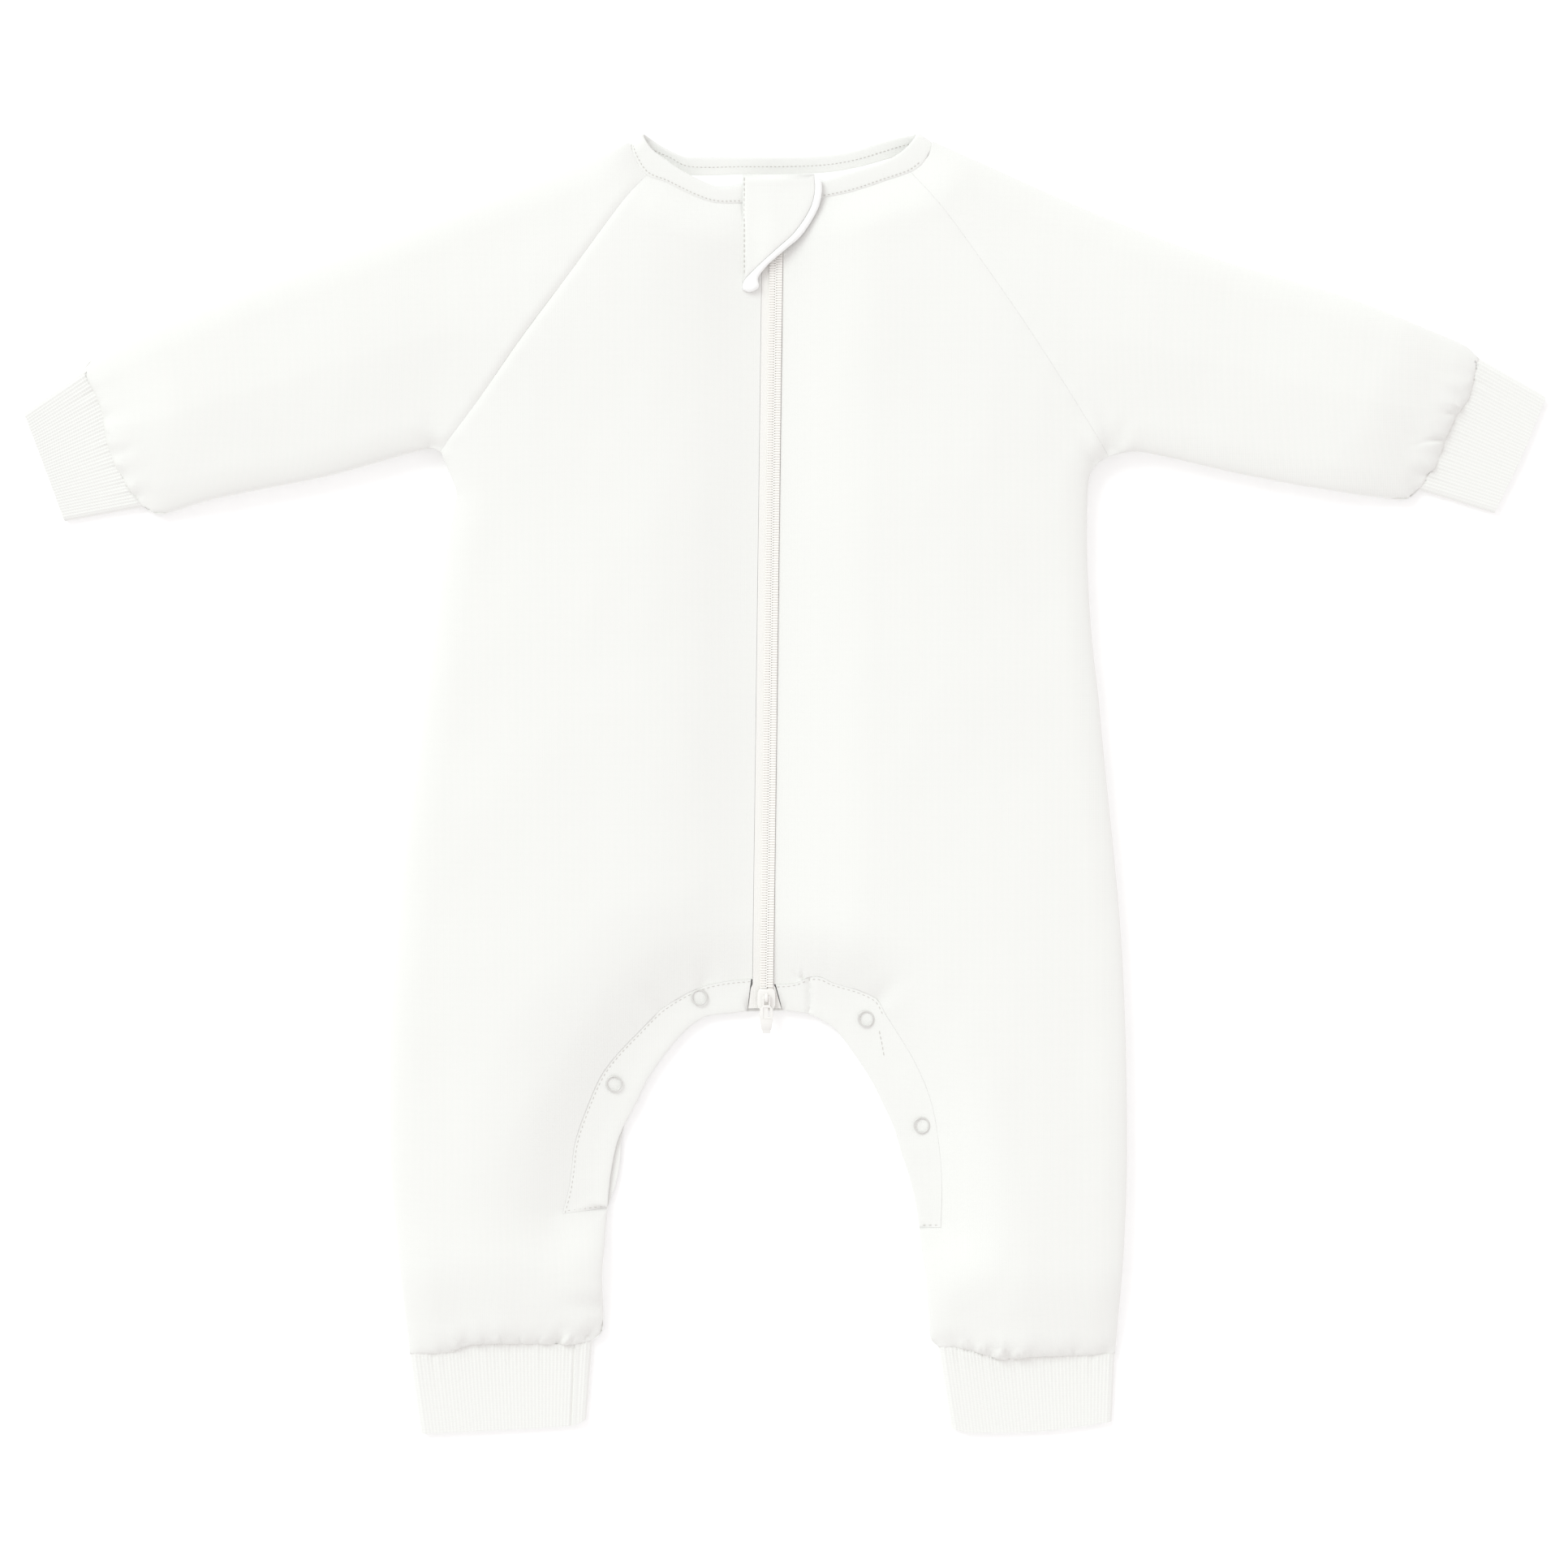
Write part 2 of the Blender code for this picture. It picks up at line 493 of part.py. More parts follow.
def filled(bm, loop, more, height):
    """Triangles over a loop, on the surface `height`. Returns the loop's vertices in order."""
    count = len(loop)
    flat = [Vector(p) for p in list(loop) + list(more)]
    edges = [(i, (i + 1) % count) for i in range(count)]
    points, _, faces, sources, _, _ = delaunay_2d_cdt(flat, edges, [], 1, 1e-4)
    heights = height([(p.x, p.y) for p in points])
    made = [bm.verts.new((p.x, p.y, z)) for p, z in zip(points, heights)]
    for face in faces:
        bm.faces.new([made[i] for i in face])
    place = {source: i for i, found in enumerate(sources) for source in found}
    return [made[place[i]] for i in range(count)]


def pad(name, loop, top, under, finish, top_rings=RINGS, under_rings=FEW_RINGS, lattice=LATTICE,
        under_lattice=None, fine=(None, None), gap=SEAM_GAP / 2, **where):
    """A wall of cloth between two height functions over an outline."""
    loop = inset(loop, gap)
    bm = bmesh.new()
    upper = filled(bm, loop, inner_points(loop, top_rings, lattice, fine[0]), top)
    lower = filled(bm, loop, inner_points(loop, under_rings, under_lattice, fine[1]), under)
    for i in range(len(loop)):
        j = (i + 1) % len(loop)
        bm.faces.new((upper[i], upper[j], lower[j], lower[i]))
    return object_from_bmesh(name, bm, finish, **where)


def cut(obj, cutter):
    cutter.hide_render = True
    cutter.display_type = "WIRE"
    modifier = obj.modifiers.new("cut", "BOOLEAN")
    modifier.operation = "DIFFERENCE"
    modifier.object = cutter


# ---------------------------------------------------------------- the wadded pieces
def front_loop(side):
    """The front with its leg: neck, raglan seam, side seam, ankle, inseam, snap band, zip."""
    offset = -ZIP_LEFT_EDGE if side == "left" else ZIP_RIGHT_EDGE
    neck = through(FRONT_NECK_SEAM[side][:NECK_PIECES_MEET[side] + 1], FINE_STEP * 2)
    band = through(BAND_SEAM[side], FINE_STEP * 2)
    return joined(
        neck, through(RAGLAN_SEAM[side], SEAM_STEP), through(SIDE_SEAM[side], SEAM_STEP),
        through(ANKLE_SEAM[side], FINE_STEP), through(INSEAM[side], SEAM_STEP), band,
        zip_edge(offset, BAND_SEAM[side][-1][1], FRONT_NECK_SEAM[side][0][1]))


def make_fronts():
    for side in SIDES:
        pad(f"front_{side}", front_loop(side), front_top, front_inside, "shell_cotton",
            under_rings=INSIDE_RINGS, under_lattice=2 * LATTICE, fine=(None, FINE_LATTICE))


def make_back():
    left = [through(SIDE_SEAM["left"], SEAM_STEP), through(ANKLE_SEAM["left"], FINE_STEP * 2),
            through(INSEAM["left"], SEAM_STEP), through(BACK_CROTCH_EDGE_LEFT, FINE_STEP * 2)]
    right = [through(table["right"], step)[::-1] for table, step in (
        (CROTCH_EDGE, FINE_STEP * 2), (INSEAM, SEAM_STEP), (ANKLE_SEAM, FINE_STEP * 2),
        (SIDE_SEAM, SEAM_STEP), (RAGLAN_SEAM, SEAM_STEP))]
    neck_left, neck_right = (
        through(FRONT_NECK_SEAM[side][NECK_PIECES_MEET[side]:-1], FINE_STEP) for side in SIDES)
    loop = joined(through(RAGLAN_SEAM["left"], SEAM_STEP), *left, *right, neck_right,
                  through(BACK_NECK_SEAM, FINE_STEP * 2)[::-1], neck_left[::-1])
    pad("back", loop, back_inside, underside, "shell_cotton", top_rings=INSIDE_RINGS,
        lattice=2 * LATTICE, under_rings=FEW_RINGS, fine=(FINE_LATTICE, None))


def sleeve_slot(side):
    """The flat space inside a sleeve, which runs out past its open ends."""
    outwards = -1 if side == "left" else 1
    fold = [(x, y - SLOT_INNER) for x, y in through(SHOULDER_FOLD[side], SEAM_STEP)]
    seam = [(x, y + SLOT_INNER) for x, y in through(UNDERARM_SEAM[side][1:], SEAM_STEP)]
    neck, wrist_top = SLOT_ENDS[side]["neck"], SLOT_ENDS[side]["wrist_top"]
    armpit, wrist_foot = SLOT_ENDS[side]["armpit"], SLOT_ENDS[side]["wrist_foot"]
    loop = joined([neck], fold[1:-3], [wrist_top], [wrist_foot], seam[-3::-1], [armpit])
    return pad(f"slot_{side}", loop, lambda p: seam_level(p) + SLOT / 2,
               lambda p: seam_level(p) - SLOT / 2, "shell_cotton", top_rings=(), under_rings=(),
               lattice=LATTICE, under_lattice=LATTICE, fine=(FINE_LATTICE, FINE_LATTICE),
               gap=0.0, collection="cutters")


def make_sleeves():
    for side in SIDES:
        neck = through(FRONT_NECK_SEAM[side][NECK_PIECES_MEET[side]:], FINE_STEP)
        loop = joined(through(SHOULDER_FOLD[side], SEAM_STEP), through(WRIST_SEAM[side], FINE_STEP),
                      through(UNDERARM_SEAM[side], SEAM_STEP)[::-1],
                      through(RAGLAN_SEAM[side], SEAM_STEP)[::-1], neck)
        sleeve = pad(f"sleeve_{side}", loop, front_top, underside, "shell_cotton")
        cut(sleeve, sleeve_slot(side))


# ---------------------------------------------------------------- rib cuffs
def evenly(points, count):
    """`count` + 1 points at even steps along a polyline."""
    line = np.asarray(points, float)
    run = np.concatenate(([0], np.cumsum(np.hypot(*np.diff(line, axis=0).T))))
    at = np.linspace(0, run[-1], count + 1)
    return [Vector(p) for p in zip(np.interp(at, run, line[:, 0]), np.interp(at, run, line[:, 1]))]


def make_cuff(name, seam, hem):
    """A flat tube of rib knit. Its ribs run from the seam to the hem and stand on its top."""
    width = sum(math.dist(a, b) for a, b in zip(seam, seam[1:]))
    across = 2 * round(width / RIB_PITCH)
    seam_line = evenly(through(seam, CURVE_STEP), across)
    hem_line = evenly(through(hem, CURVE_STEP), across)
    half = CUFF_WALL + SLOT / 2
    stations = [CUFF_SIDE_RIBS, *range(FAN, across - FAN + 1, FAN), across - CUFF_SIDE_RIBS]
    bm = bmesh.new()
    rows = []
    for row in range(CUFF_ROWS):
        down = row / (CUFF_ROWS - 1)
        share = CUFF_SEAM_SHARE + (1 - CUFF_SEAM_SHARE) * down
        line = [a.lerp(b, share) for a, b in zip(seam_line, hem_line)]
        swell = CUFF_SWELL * (1 - down) ** 2
        top = []
        for i, point in enumerate(line):
            from_side = min((point - line[0]).length, (point - line[-1]).length)
            rise = (half + swell) * float(rounded(from_side / CUFF_SIDE_ROUND))
            groove = RIB_HEIGHT * (1 - i % 2) * min(1, i, across - i)
            top.append(bm.verts.new((*point, half + rise - groove)))
        layers = [[bm.verts.new((*line[i], z)) for i in stations]
                  for z in (CUFF_WALL + SLOT, CUFF_WALL, 0)]
        rows.append((top, *layers))
    for row, after in zip(rows, rows[1:]):
        for line, next_line in zip(row, after):
            for a, b, c, d in zip(line, line[1:], next_line[1:], next_line):
                bm.faces.new((a, b, c, d))
        for end in (0, -1):
            for one, other in ((0, 3), (1, 2)):
                bm.faces.new((row[one][end], row[other][end], after[other][end], after[one][end]))
    for row in (rows[0], rows[-1]):
        close_cuff_end(bm, stations, *row)
    object_from_bmesh(name, bm, "rib_knit")


def close_cuff_end(bm, stations, top, slot_top, slot_foot, floor):
    """The cut end of the tube: the wall above the slot, the wall below it and the two sides."""
    halfway = [(a + b) // 2 for a, b in zip(stations, stations[1:])]
    place = 0
    for i in range(len(top) - 1):
        bm.faces.new((top[i], top[i + 1], slot_top[place]))
        if place < len(halfway) and i + 1 == halfway[place]:
            bm.faces.new((top[i + 1], slot_top[place + 1], slot_top[place]))
            place += 1
    for a, b, c, d in zip(slot_foot, slot_foot[1:], floor[1:], floor):
        bm.faces.new((a, b, c, d))
    for end in (0, -1):
        bm.faces.new((top[end], slot_top[end], slot_foot[end]))
        bm.faces.new((top[end], slot_foot[end], floor[end]))


def make_cuffs():
    for side in SIDES:
        make_cuff(f"wrist_cuff_{side}", WRIST_SEAM[side], WRIST_HEM[side])
        make_cuff(f"ankle_cuff_{side}", ANKLE_SEAM[side], ANKLE_HEM[side])


# ---------------------------------------------------------------- neckband
def make_neckband():
    """One folded band: up the left front, round the back of the neck, down the right front.

    Its outer face looks up on the front, sideways where the band folds, and down on the back.
    """
    bm = bmesh.new()
    rings = []
    for seam_x, seam_y, free_x, free_y, layer in through(NECKBAND_ROWS, NECKBAND_STEP):
        z = NECKBAND_BACK_Z + (NECKBAND_FRONT_Z - NECKBAND_BACK_Z) * layer
        seam, free = Vector((seam_x, seam_y, z)), Vector((free_x, free_y, z))
        turned = math.pi * (1 - min(max(layer, 0), 1))
        outwards = Vector((math.copysign(math.sin(turned), seam_x), 0, math.cos(turned)))
        rings.append([bm.verts.new(seam.lerp(free, share) + outwards * lift * NECKBAND_WALL / 2)
                      for share, lift in NECKBAND_SECTION])
    for ring, after in zip(rings, rings[1:]):
        for i in range(len(ring)):
            j = (i + 1) % len(ring)
            bm.faces.new((ring[i], ring[j], after[j], after[i]))
    bm.faces.new(rings[0])
    bm.faces.new(rings[-1])
    object_from_bmesh("neckband", bm, "shell_cotton")


# ---------------------------------------------------------------- chin guard
def guard_rest(points):
    """The underside of the flap, which spans the zip's valley and lies on the neckband."""
    full = (pressed(points, FRONT_NECK, NECK_ROUND) * pressed(points, SILHOUETTE, SIDE_ROUND))
    cloth = seam_level(points) + SEAM_GAP / 2 + EDGE_WALL + (loft(points) - EDGE_WALL) * full
    return np.maximum(cloth, NECKBAND_FRONT_Z + NECKBAND_WALL / 2) + GUARD_REST


def make_guard():
    top_left = (GUARD_LEFT_X, GUARD_TOP_Y)
    edge = through(GUARD_EDGE, FINE_STEP)
    pad("chin_guard", joined([top_left], edge), lambda p: guard_rest(p) + GUARD_WALL, guard_rest,
        "shell_cotton", top_rings=(), under_rings=(), lattice=GUARD_LATTICE,
        under_lattice=GUARD_LATTICE)
    binding = through(BINDING_EDGE, FINE_STEP)
    pad("guard_binding", joined(edge, binding[::-1]), lambda p: guard_rest(p) + BINDING_WALL,
        guard_rest, "white_binding", top_rings=(), under_rings=(), lattice=None)


# ---------------------------------------------------------------- zip
def make_zip():
    """Two tapes side by side, which narrow to folded ends beside the slider, and the coil."""
    for side, outer in (("left", -ZIP_LEFT_EDGE), ("right", ZIP_RIGHT_EDGE)):
        loop = [*zip_edge(outer, ZIP_TOP[1], TAPE_STEP_Y, LATTICE), *TAPE_FOLD[side],
                *zip_edge(0.0, TAPE_STEP_Y, ZIP_TOP[1], LATTICE)]
        pad(f"zip_tape_{side}", joined(loop), lambda p: seam_level(p) + TAPE_LIFT + TAPE_WALL,
            lambda p: seam_level(p) + TAPE_LIFT, "zip_tape", top_rings=(), under_rings=(),
            lattice=None)
    coil = joined(zip_edge(-COIL_HALF, ZIP_TOP[1], COIL_FOOT_Y, LATTICE),
                  zip_edge(COIL_HALF, COIL_FOOT_Y, ZIP_TOP[1], LATTICE))
    pad("zip_coil", coil, coil_top, lambda p: seam_level(p) + COIL_LIFT, "zip_nylon",
        top_rings=(COIL_SHOULDER,), under_rings=(), lattice=None)


def coil_top(points):
    x, y = np.asarray(points, float).T
    aside = np.abs(x - zip_x(y)) / COIL_HALF
    return seam_level(points) + COIL_LIFT + COIL_HEIGHT * (1 - 0.45 * smooth(2 * aside - 1))


def prism(name, outline, low, high, finish, **where):
    """A flat plate with this outline between two heights."""
    bm = bmesh.new()
    face = bm.faces.new([bm.verts.new((x, y, low)) for x, y in outline])
    raised = bmesh.ops.extrude_face_region(bm, geom=[face])["geom"]
    bmesh.ops.translate(bm, vec=(0, 0, high - low),
                        verts=[v for v in raised if isinstance(v, bmesh.types.BMVert)])
    return object_from_bmesh(name, bm, finish, **where)


def join(obj, other):
    modifier = obj.modifiers.new("join", "BOOLEAN")
    modifier.operation = "UNION"
    modifier.object = other
    other.hide_render = True
    other.display_type = "WIRE"


def bevelled(obj, width):
    modifier = obj.modifiers.new("edges", "BEVEL")
    modifier.width = width * MM
    modifier.segments = 1
    modifier.limit_method = "ANGLE"
    return obj


def slider_heights():
    level = float(seam_level([(zip_x(SLIDER_Y), SLIDER_Y)])[0])
    under = level + SLIDER_UNDER_LIFT
    top = level + SLIDER_TOP_LIFT
    return under, top, top + HINGE_LIFT


def make_slider():
    """Two plates joined by a neck, with a crown on top that holds the pull."""
    under, top, hinge = slider_heights()
    x = zip_x(SLIDER_Y)
    outline = [(x + side * half, SLIDER_Y + along) for side, rows in (
        (1, SLIDER_ROWS), (-1, SLIDER_ROWS[::-1])) for half, along in rows]
    plate = prism("zip_slider", outline, top - SLIDER_PLATE, top, "zip_metal")
    bevelled(plate, 0.3)
    lower = prism("slider_under", outline, under, under + SLIDER_PLATE, "zip_metal",
                  collection="cutters")
    neck_foot = SLIDER_Y - SLIDER_LENGTH / 2
    neck = prism("slider_neck", [(x - SLIDER_NECK_HALF, neck_foot + 0.5),
                                 (x + SLIDER_NECK_HALF, neck_foot + 0.5),
                                 (x + 0.4, neck_foot + SLIDER_NECK_LENGTH),
                                 (x - 0.4, neck_foot + SLIDER_NECK_LENGTH)],
                 under + 0.5 * SLIDER_PLATE, top - 0.5 * SLIDER_PLATE, "zip_metal",
                 collection="cutters")
    bm = bmesh.new()
    arches = []
    for reach in (CROWN_INNER, CROWN_OUTER):
        arch = [(-reach, top - 0.5 - hinge)]
        arch += [(-reach * math.cos(a), reach * math.sin(a))
                 for a in (math.radians(180 * i / CROWN_STEPS) for i in range(CROWN_STEPS + 1))]
        arch.append((reach, top - 0.5 - hinge))
        arches.append(arch)
    inner, outer = arches
    face = [bm.verts.new((x - CROWN_HALF_WIDTH, HINGE_Y + y, hinge + z))
            for y, z in outer + inner[::-1]]
    raised = bmesh.ops.extrude_face_region(bm, geom=[bm.faces.new(face)])["geom"]
    bmesh.ops.translate(bm, vec=(2 * CROWN_HALF_WIDTH, 0, 0),
                        verts=[v for v in raised if isinstance(v, bmesh.types.BMVert)])
    crown = object_from_bmesh("slider_crown", bm, "zip_metal", collection="cutters")
    for other in (lower, neck, crown):
        join(plate, other)


def make_pull():
    """The pull tab, with its origin on the axis it swings about, hanging towards the legs."""
    hinge = slider_heights()[2]
    half = PULL_THICK / 2
    pull = prism("zip_pull", PULL_OUTLINE, -half, half, "zip_metal")
    cut(pull, prism("pull_eye", PULL_EYE, -PULL_THICK, PULL_THICK, "zip_metal",
                    collection="cutters"))
    eye = bpy.data.objects["pull_eye"]
    bevelled(pull, 0.25)
    for obj in (pull, eye):
        obj.location = (zip_x(SLIDER_Y) * MM, HINGE_Y * MM, hinge * MM)
        obj.rotation_euler = (math.radians(PULL_DROOP_DEG), 0, 0)


# ---------------------------------------------------------------- snap bands and snaps
def band_top(points):
    ends = [through(BAND_SEAM[side], CURVE_STEP) for side in SIDES] + CROTCH
    rise = (BAND_WALL - EDGE_WALL) * rounded(distance(points, *ends) / BAND_SOFT)
    x, y = np.asarray(points, float).T
    aside = np.exp(-((x - BAND_CREASE["x"]) / BAND_CREASE["width"]) ** 2)
    return seam_level(points) + SEAM_GAP / 2 + EDGE_WALL + rise - BAND_CREASE["depth"] * aside


def make_bands():
    for side in SIDES:
        loop = joined(through(BAND_SEAM[side], FINE_STEP * 2),
                      through(CROTCH_EDGE[side], FINE_STEP * 2)[::-1])
        pad(f"snap_band_{side}", loop, band_top, front_inside, "shell_cotton", top_rings=(3.0,),
            under_rings=(), lattice=None)


def make_snaps():
    for name, (x, y) in SNAPS.items():
        rim = [(x + SNAP_RADIUS * math.cos(a), y + SNAP_RADIUS * math.sin(a))
               for a in (math.tau * i / 8 for i in range(8))]
        z = float(band_top(rim).max()) + SEAM_GAP + SNAP_WIRE
        bpy.ops.mesh.primitive_torus_add(
            major_radius=SNAP_RADIUS * MM, minor_radius=SNAP_WIRE * MM, major_segments=20,
            minor_segments=5, location=(x * MM, y * MM, z * MM))
        made = bpy.context.object
        snap = add_object(name, made.data, "snap_metal")
        snap.location = made.location
        bpy.data.objects.remove(made)
        snap.data.shade_smooth()


def main():
    clear_scene()
    make_back()
    make_fronts()
    make_sleeves()
    make_cuffs()
    make_neckband()
    make_bands()
    make_zip()
    make_slider()
    make_pull()
    make_guard()
    make_snaps()


main()
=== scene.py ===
# %% [markdown]
# # A padded sleep suit, laid flat on its back
#
# The real garment is a baby's one-piece of soft wadded cotton: two fronts, a back, two raglan
# sleeves, four rib cuffs, a neckband, a zip with a chin guard, and two bands of ring snaps at the
# crotch. The CAD frame gives every piece its size and place. This notebook dresses each one with
# its true surface: loft, seams, puckers, stitches, knit ribs and zip teeth.

# %% Load the CAD frame
import math

import bmesh
import bpy
import numpy as np
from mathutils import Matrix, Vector, noise
from mathutils.geometry import delaunay_2d_cdt
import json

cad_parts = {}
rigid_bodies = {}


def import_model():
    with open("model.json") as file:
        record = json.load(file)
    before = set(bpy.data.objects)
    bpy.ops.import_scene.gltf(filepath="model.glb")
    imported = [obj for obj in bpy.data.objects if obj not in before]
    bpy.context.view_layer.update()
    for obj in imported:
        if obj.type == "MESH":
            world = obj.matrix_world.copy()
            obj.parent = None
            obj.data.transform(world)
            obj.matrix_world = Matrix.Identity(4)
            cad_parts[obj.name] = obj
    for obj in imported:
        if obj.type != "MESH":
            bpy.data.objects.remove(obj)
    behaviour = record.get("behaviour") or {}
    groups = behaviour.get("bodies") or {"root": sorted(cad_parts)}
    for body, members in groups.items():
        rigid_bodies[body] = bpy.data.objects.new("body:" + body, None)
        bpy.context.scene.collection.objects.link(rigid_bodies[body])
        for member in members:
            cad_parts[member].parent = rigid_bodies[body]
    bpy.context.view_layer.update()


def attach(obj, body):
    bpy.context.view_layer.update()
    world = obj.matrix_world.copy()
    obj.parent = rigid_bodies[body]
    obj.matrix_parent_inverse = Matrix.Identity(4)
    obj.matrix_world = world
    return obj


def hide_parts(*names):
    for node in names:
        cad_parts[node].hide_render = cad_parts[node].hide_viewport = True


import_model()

MM = 0.001  # sizes below are in millimetres, and meshes are made in metres
for obj in bpy.data.objects:
    obj.select_set(False)

# %% [markdown]
# ## Camera, floor and light
#
# The garment was photographed from straight above, so the camera looks down through a long lens.
# A long lens far away keeps the sleeves from looking nearer than the legs. The floor and the light
# are pale and soft: an even sky, and one soft key light from the upper left. The key is weak,
# because the photograph hardly has a shadow, but without it the white cloth would lose its folds.

# %% Camera
PHOTO_SPAN = 772.8  # the width of the floor that the photograph takes in
PHOTO_MIDDLE = (-0.8, 0.2)
CAMERA_HEIGHT = 2600.0
CLOTH_HEIGHT = 8  # the span is measured at this height
SENSOR = 36.0

camera_data = bpy.data.cameras.new("camera")
camera_data.sensor_width = SENSOR
camera_data.lens = SENSOR * (CAMERA_HEIGHT - CLOTH_HEIGHT) / PHOTO_SPAN
camera = bpy.data.objects.new("camera", camera_data)
camera.location = (PHOTO_MIDDLE[0] * MM, PHOTO_MIDDLE[1] * MM, CAMERA_HEIGHT * MM)
bpy.context.scene.collection.objects.link(camera)
bpy.context.scene.camera = camera
print("lens", round(camera_data.lens, 1), "mm")

# %% Light
SKY_STRENGTH = 0.92
SKY_COLOUR, KEY_COLOUR = (1.0, 0.979, 0.982), (0.88, 1.0, 0.96)
KEY_STRENGTH, KEY_SOFTNESS = 0.95, math.radians(30)
KEY_FROM = Vector((-1.0, 1.15, 1.45))  # the upper left

world = bpy.data.worlds.new("studio")
world.use_nodes = True
world.node_tree.nodes["Background"].inputs["Color"].default_value = (*SKY_COLOUR, 1)
world.node_tree.nodes["Background"].inputs["Strength"].default_value = SKY_STRENGTH
bpy.context.scene.world = world
key_data = bpy.data.lights.new("key", "SUN")
key_data.energy = KEY_STRENGTH
key_data.color = KEY_COLOUR
key_data.angle = KEY_SOFTNESS
key = bpy.data.objects.new("key", key_data)
key.location = KEY_FROM
key.rotation_euler = (-KEY_FROM).to_track_quat("-Z", "Y").to_euler()
bpy.context.scene.collection.objects.link(key)
bpy.context.scene.view_settings.view_transform = "Standard"
bpy.context.scene.view_settings.look = "None"
print("key light from", [round(v, 2) for v in KEY_FROM])

# %% [markdown]
# ## Finishes
#
# Cotton jersey shows a very fine grain, thin slubs across the cloth and a soft bloom of fibres at
# grazing angles. A weave, a slub and a knit are needed in several finishes, so each is one node
# group with its own inputs. Colour, roughness and sheen stay on each material's own shader.

# %% Small helpers for node groups
def new_group(name, **numbers):
    """A shader node group with a vector and these numbers going in. Returns it and its inputs."""
    group = bpy.data.node_groups.new(name, "ShaderNodeTree")
    group.interface.new_socket("Vector", in_out="INPUT", socket_type="NodeSocketVector")
    for label, value in numbers.items():
        socket = group.interface.new_socket(label, in_out="INPUT", socket_type="NodeSocketFloat")
        socket.default_value = value
    return group, group.nodes.new("NodeGroupInput").outputs


def put_out(group, height, shade):
    """Gives a group its two outputs: the height of the surface and how light its colour is."""
    for label in ("Height", "Shade"):
        group.interface.new_socket(label, in_out="OUTPUT", socket_type="NodeSocketFloat")
    out = group.nodes.new("NodeGroupOutput")
    group.links.new(height, out.inputs["Height"])
    group.links.new(shade, out.inputs["Shade"])
    return group


def plug(tree, socket, value):
    """Gives a socket its number, or links another node's output to it."""
    if isinstance(value, bpy.types.NodeSocket):
        tree.links.new(value, socket)
    else:
        socket.default_value = value


def maths(tree, operation, *values):
    """A Math node of this operation. Each value is a number or another node's output."""
    node = tree.nodes.new("ShaderNodeMath")
    node.operation = operation
    for socket, value in zip(node.inputs, values):
        plug(tree, socket, value)
    return node.outputs[0]


def blend(tree, *parts):
    """A sum. Each part is an output, a number, or an output and how much of it to take."""
    total = None
    for part in parts:
        share = maths(tree, "MULTIPLY", *part) if isinstance(part, tuple) else part
        total = share if total is None else maths(tree, "ADD", total, share)
    return total


def noise_field(tree, vector, scale, detail, stretch=(1, 1, 1)):
    """A noise texture over a vector that is first stretched along its axes."""
    mapping = tree.nodes.new("ShaderNodeMapping")
    mapping.inputs["Scale"].default_value = stretch
    texture = tree.nodes.new("ShaderNodeTexNoise")
    texture.inputs["Detail"].default_value = detail
    tree.links.new(vector, mapping.inputs["Vector"])
    tree.links.new(mapping.outputs[0], texture.inputs["Vector"])
    plug(tree, texture.inputs["Scale"], scale)
    return texture.outputs["Fac"]


# %% Jersey: fine columns of stitches, slubs and a soft unevenness
BOW, ROWS_PER_COLUMN = 1.6, 1.25  # how far a row of loops is bowed, and how close the rows are
SLUB_SIZE, SLUB_STRETCH = 60.0, (1.0, 14.0, 1.0)
FUZZ_SIZE, CLOUD_SIZE = 1500.0, 9.0


def make_jersey_group():
    """Columns of bowed loops, with slubs and fuzz, over the piece's own coordinates."""
    group, given = new_group("jersey_grain", Pitch=0.0008, Slub=0.5)
    split = group.nodes.new("ShaderNodeSeparateXYZ")
    group.links.new(given["Vector"], split.inputs[0])
    turns = maths(group, "DIVIDE", math.tau, given["Pitch"])
    column = maths(group, "SINE", maths(group, "MULTIPLY", split.outputs["X"], turns))
    bowed = maths(group, "MULTIPLY", maths(group, "ABSOLUTE", column), BOW)
    row = maths(group, "MULTIPLY", split.outputs["Y"],
                maths(group, "MULTIPLY", turns, ROWS_PER_COLUMN))
    loop = maths(group, "SINE", maths(group, "ADD", row, bowed))
    slub = noise_field(group, given["Vector"], SLUB_SIZE, 4.0, SLUB_STRETCH)
    fuzz = noise_field(group, given["Vector"], FUZZ_SIZE, 2.0)
    cloud = noise_field(group, given["Vector"], CLOUD_SIZE, 2.0)
    slubs = maths(group, "MULTIPLY", slub, given["Slub"])
    return put_out(group, height=blend(group, (column, 0.22), (loop, 0.16), slubs, (fuzz, 0.35)),
                   shade=blend(group, (slubs, 0.014), 0.978, (cloud, 0.012)))


# %% Rib knit: rows of small loops along each rib, read from the piece's own UV map
RIB_PITCH, LOOP_PITCH = 1.85, 1.2  # millimetres, as in the cuffs' UV maps
RIB_BOW, RIB_FUZZ_SIZE = 1.9, 2.2


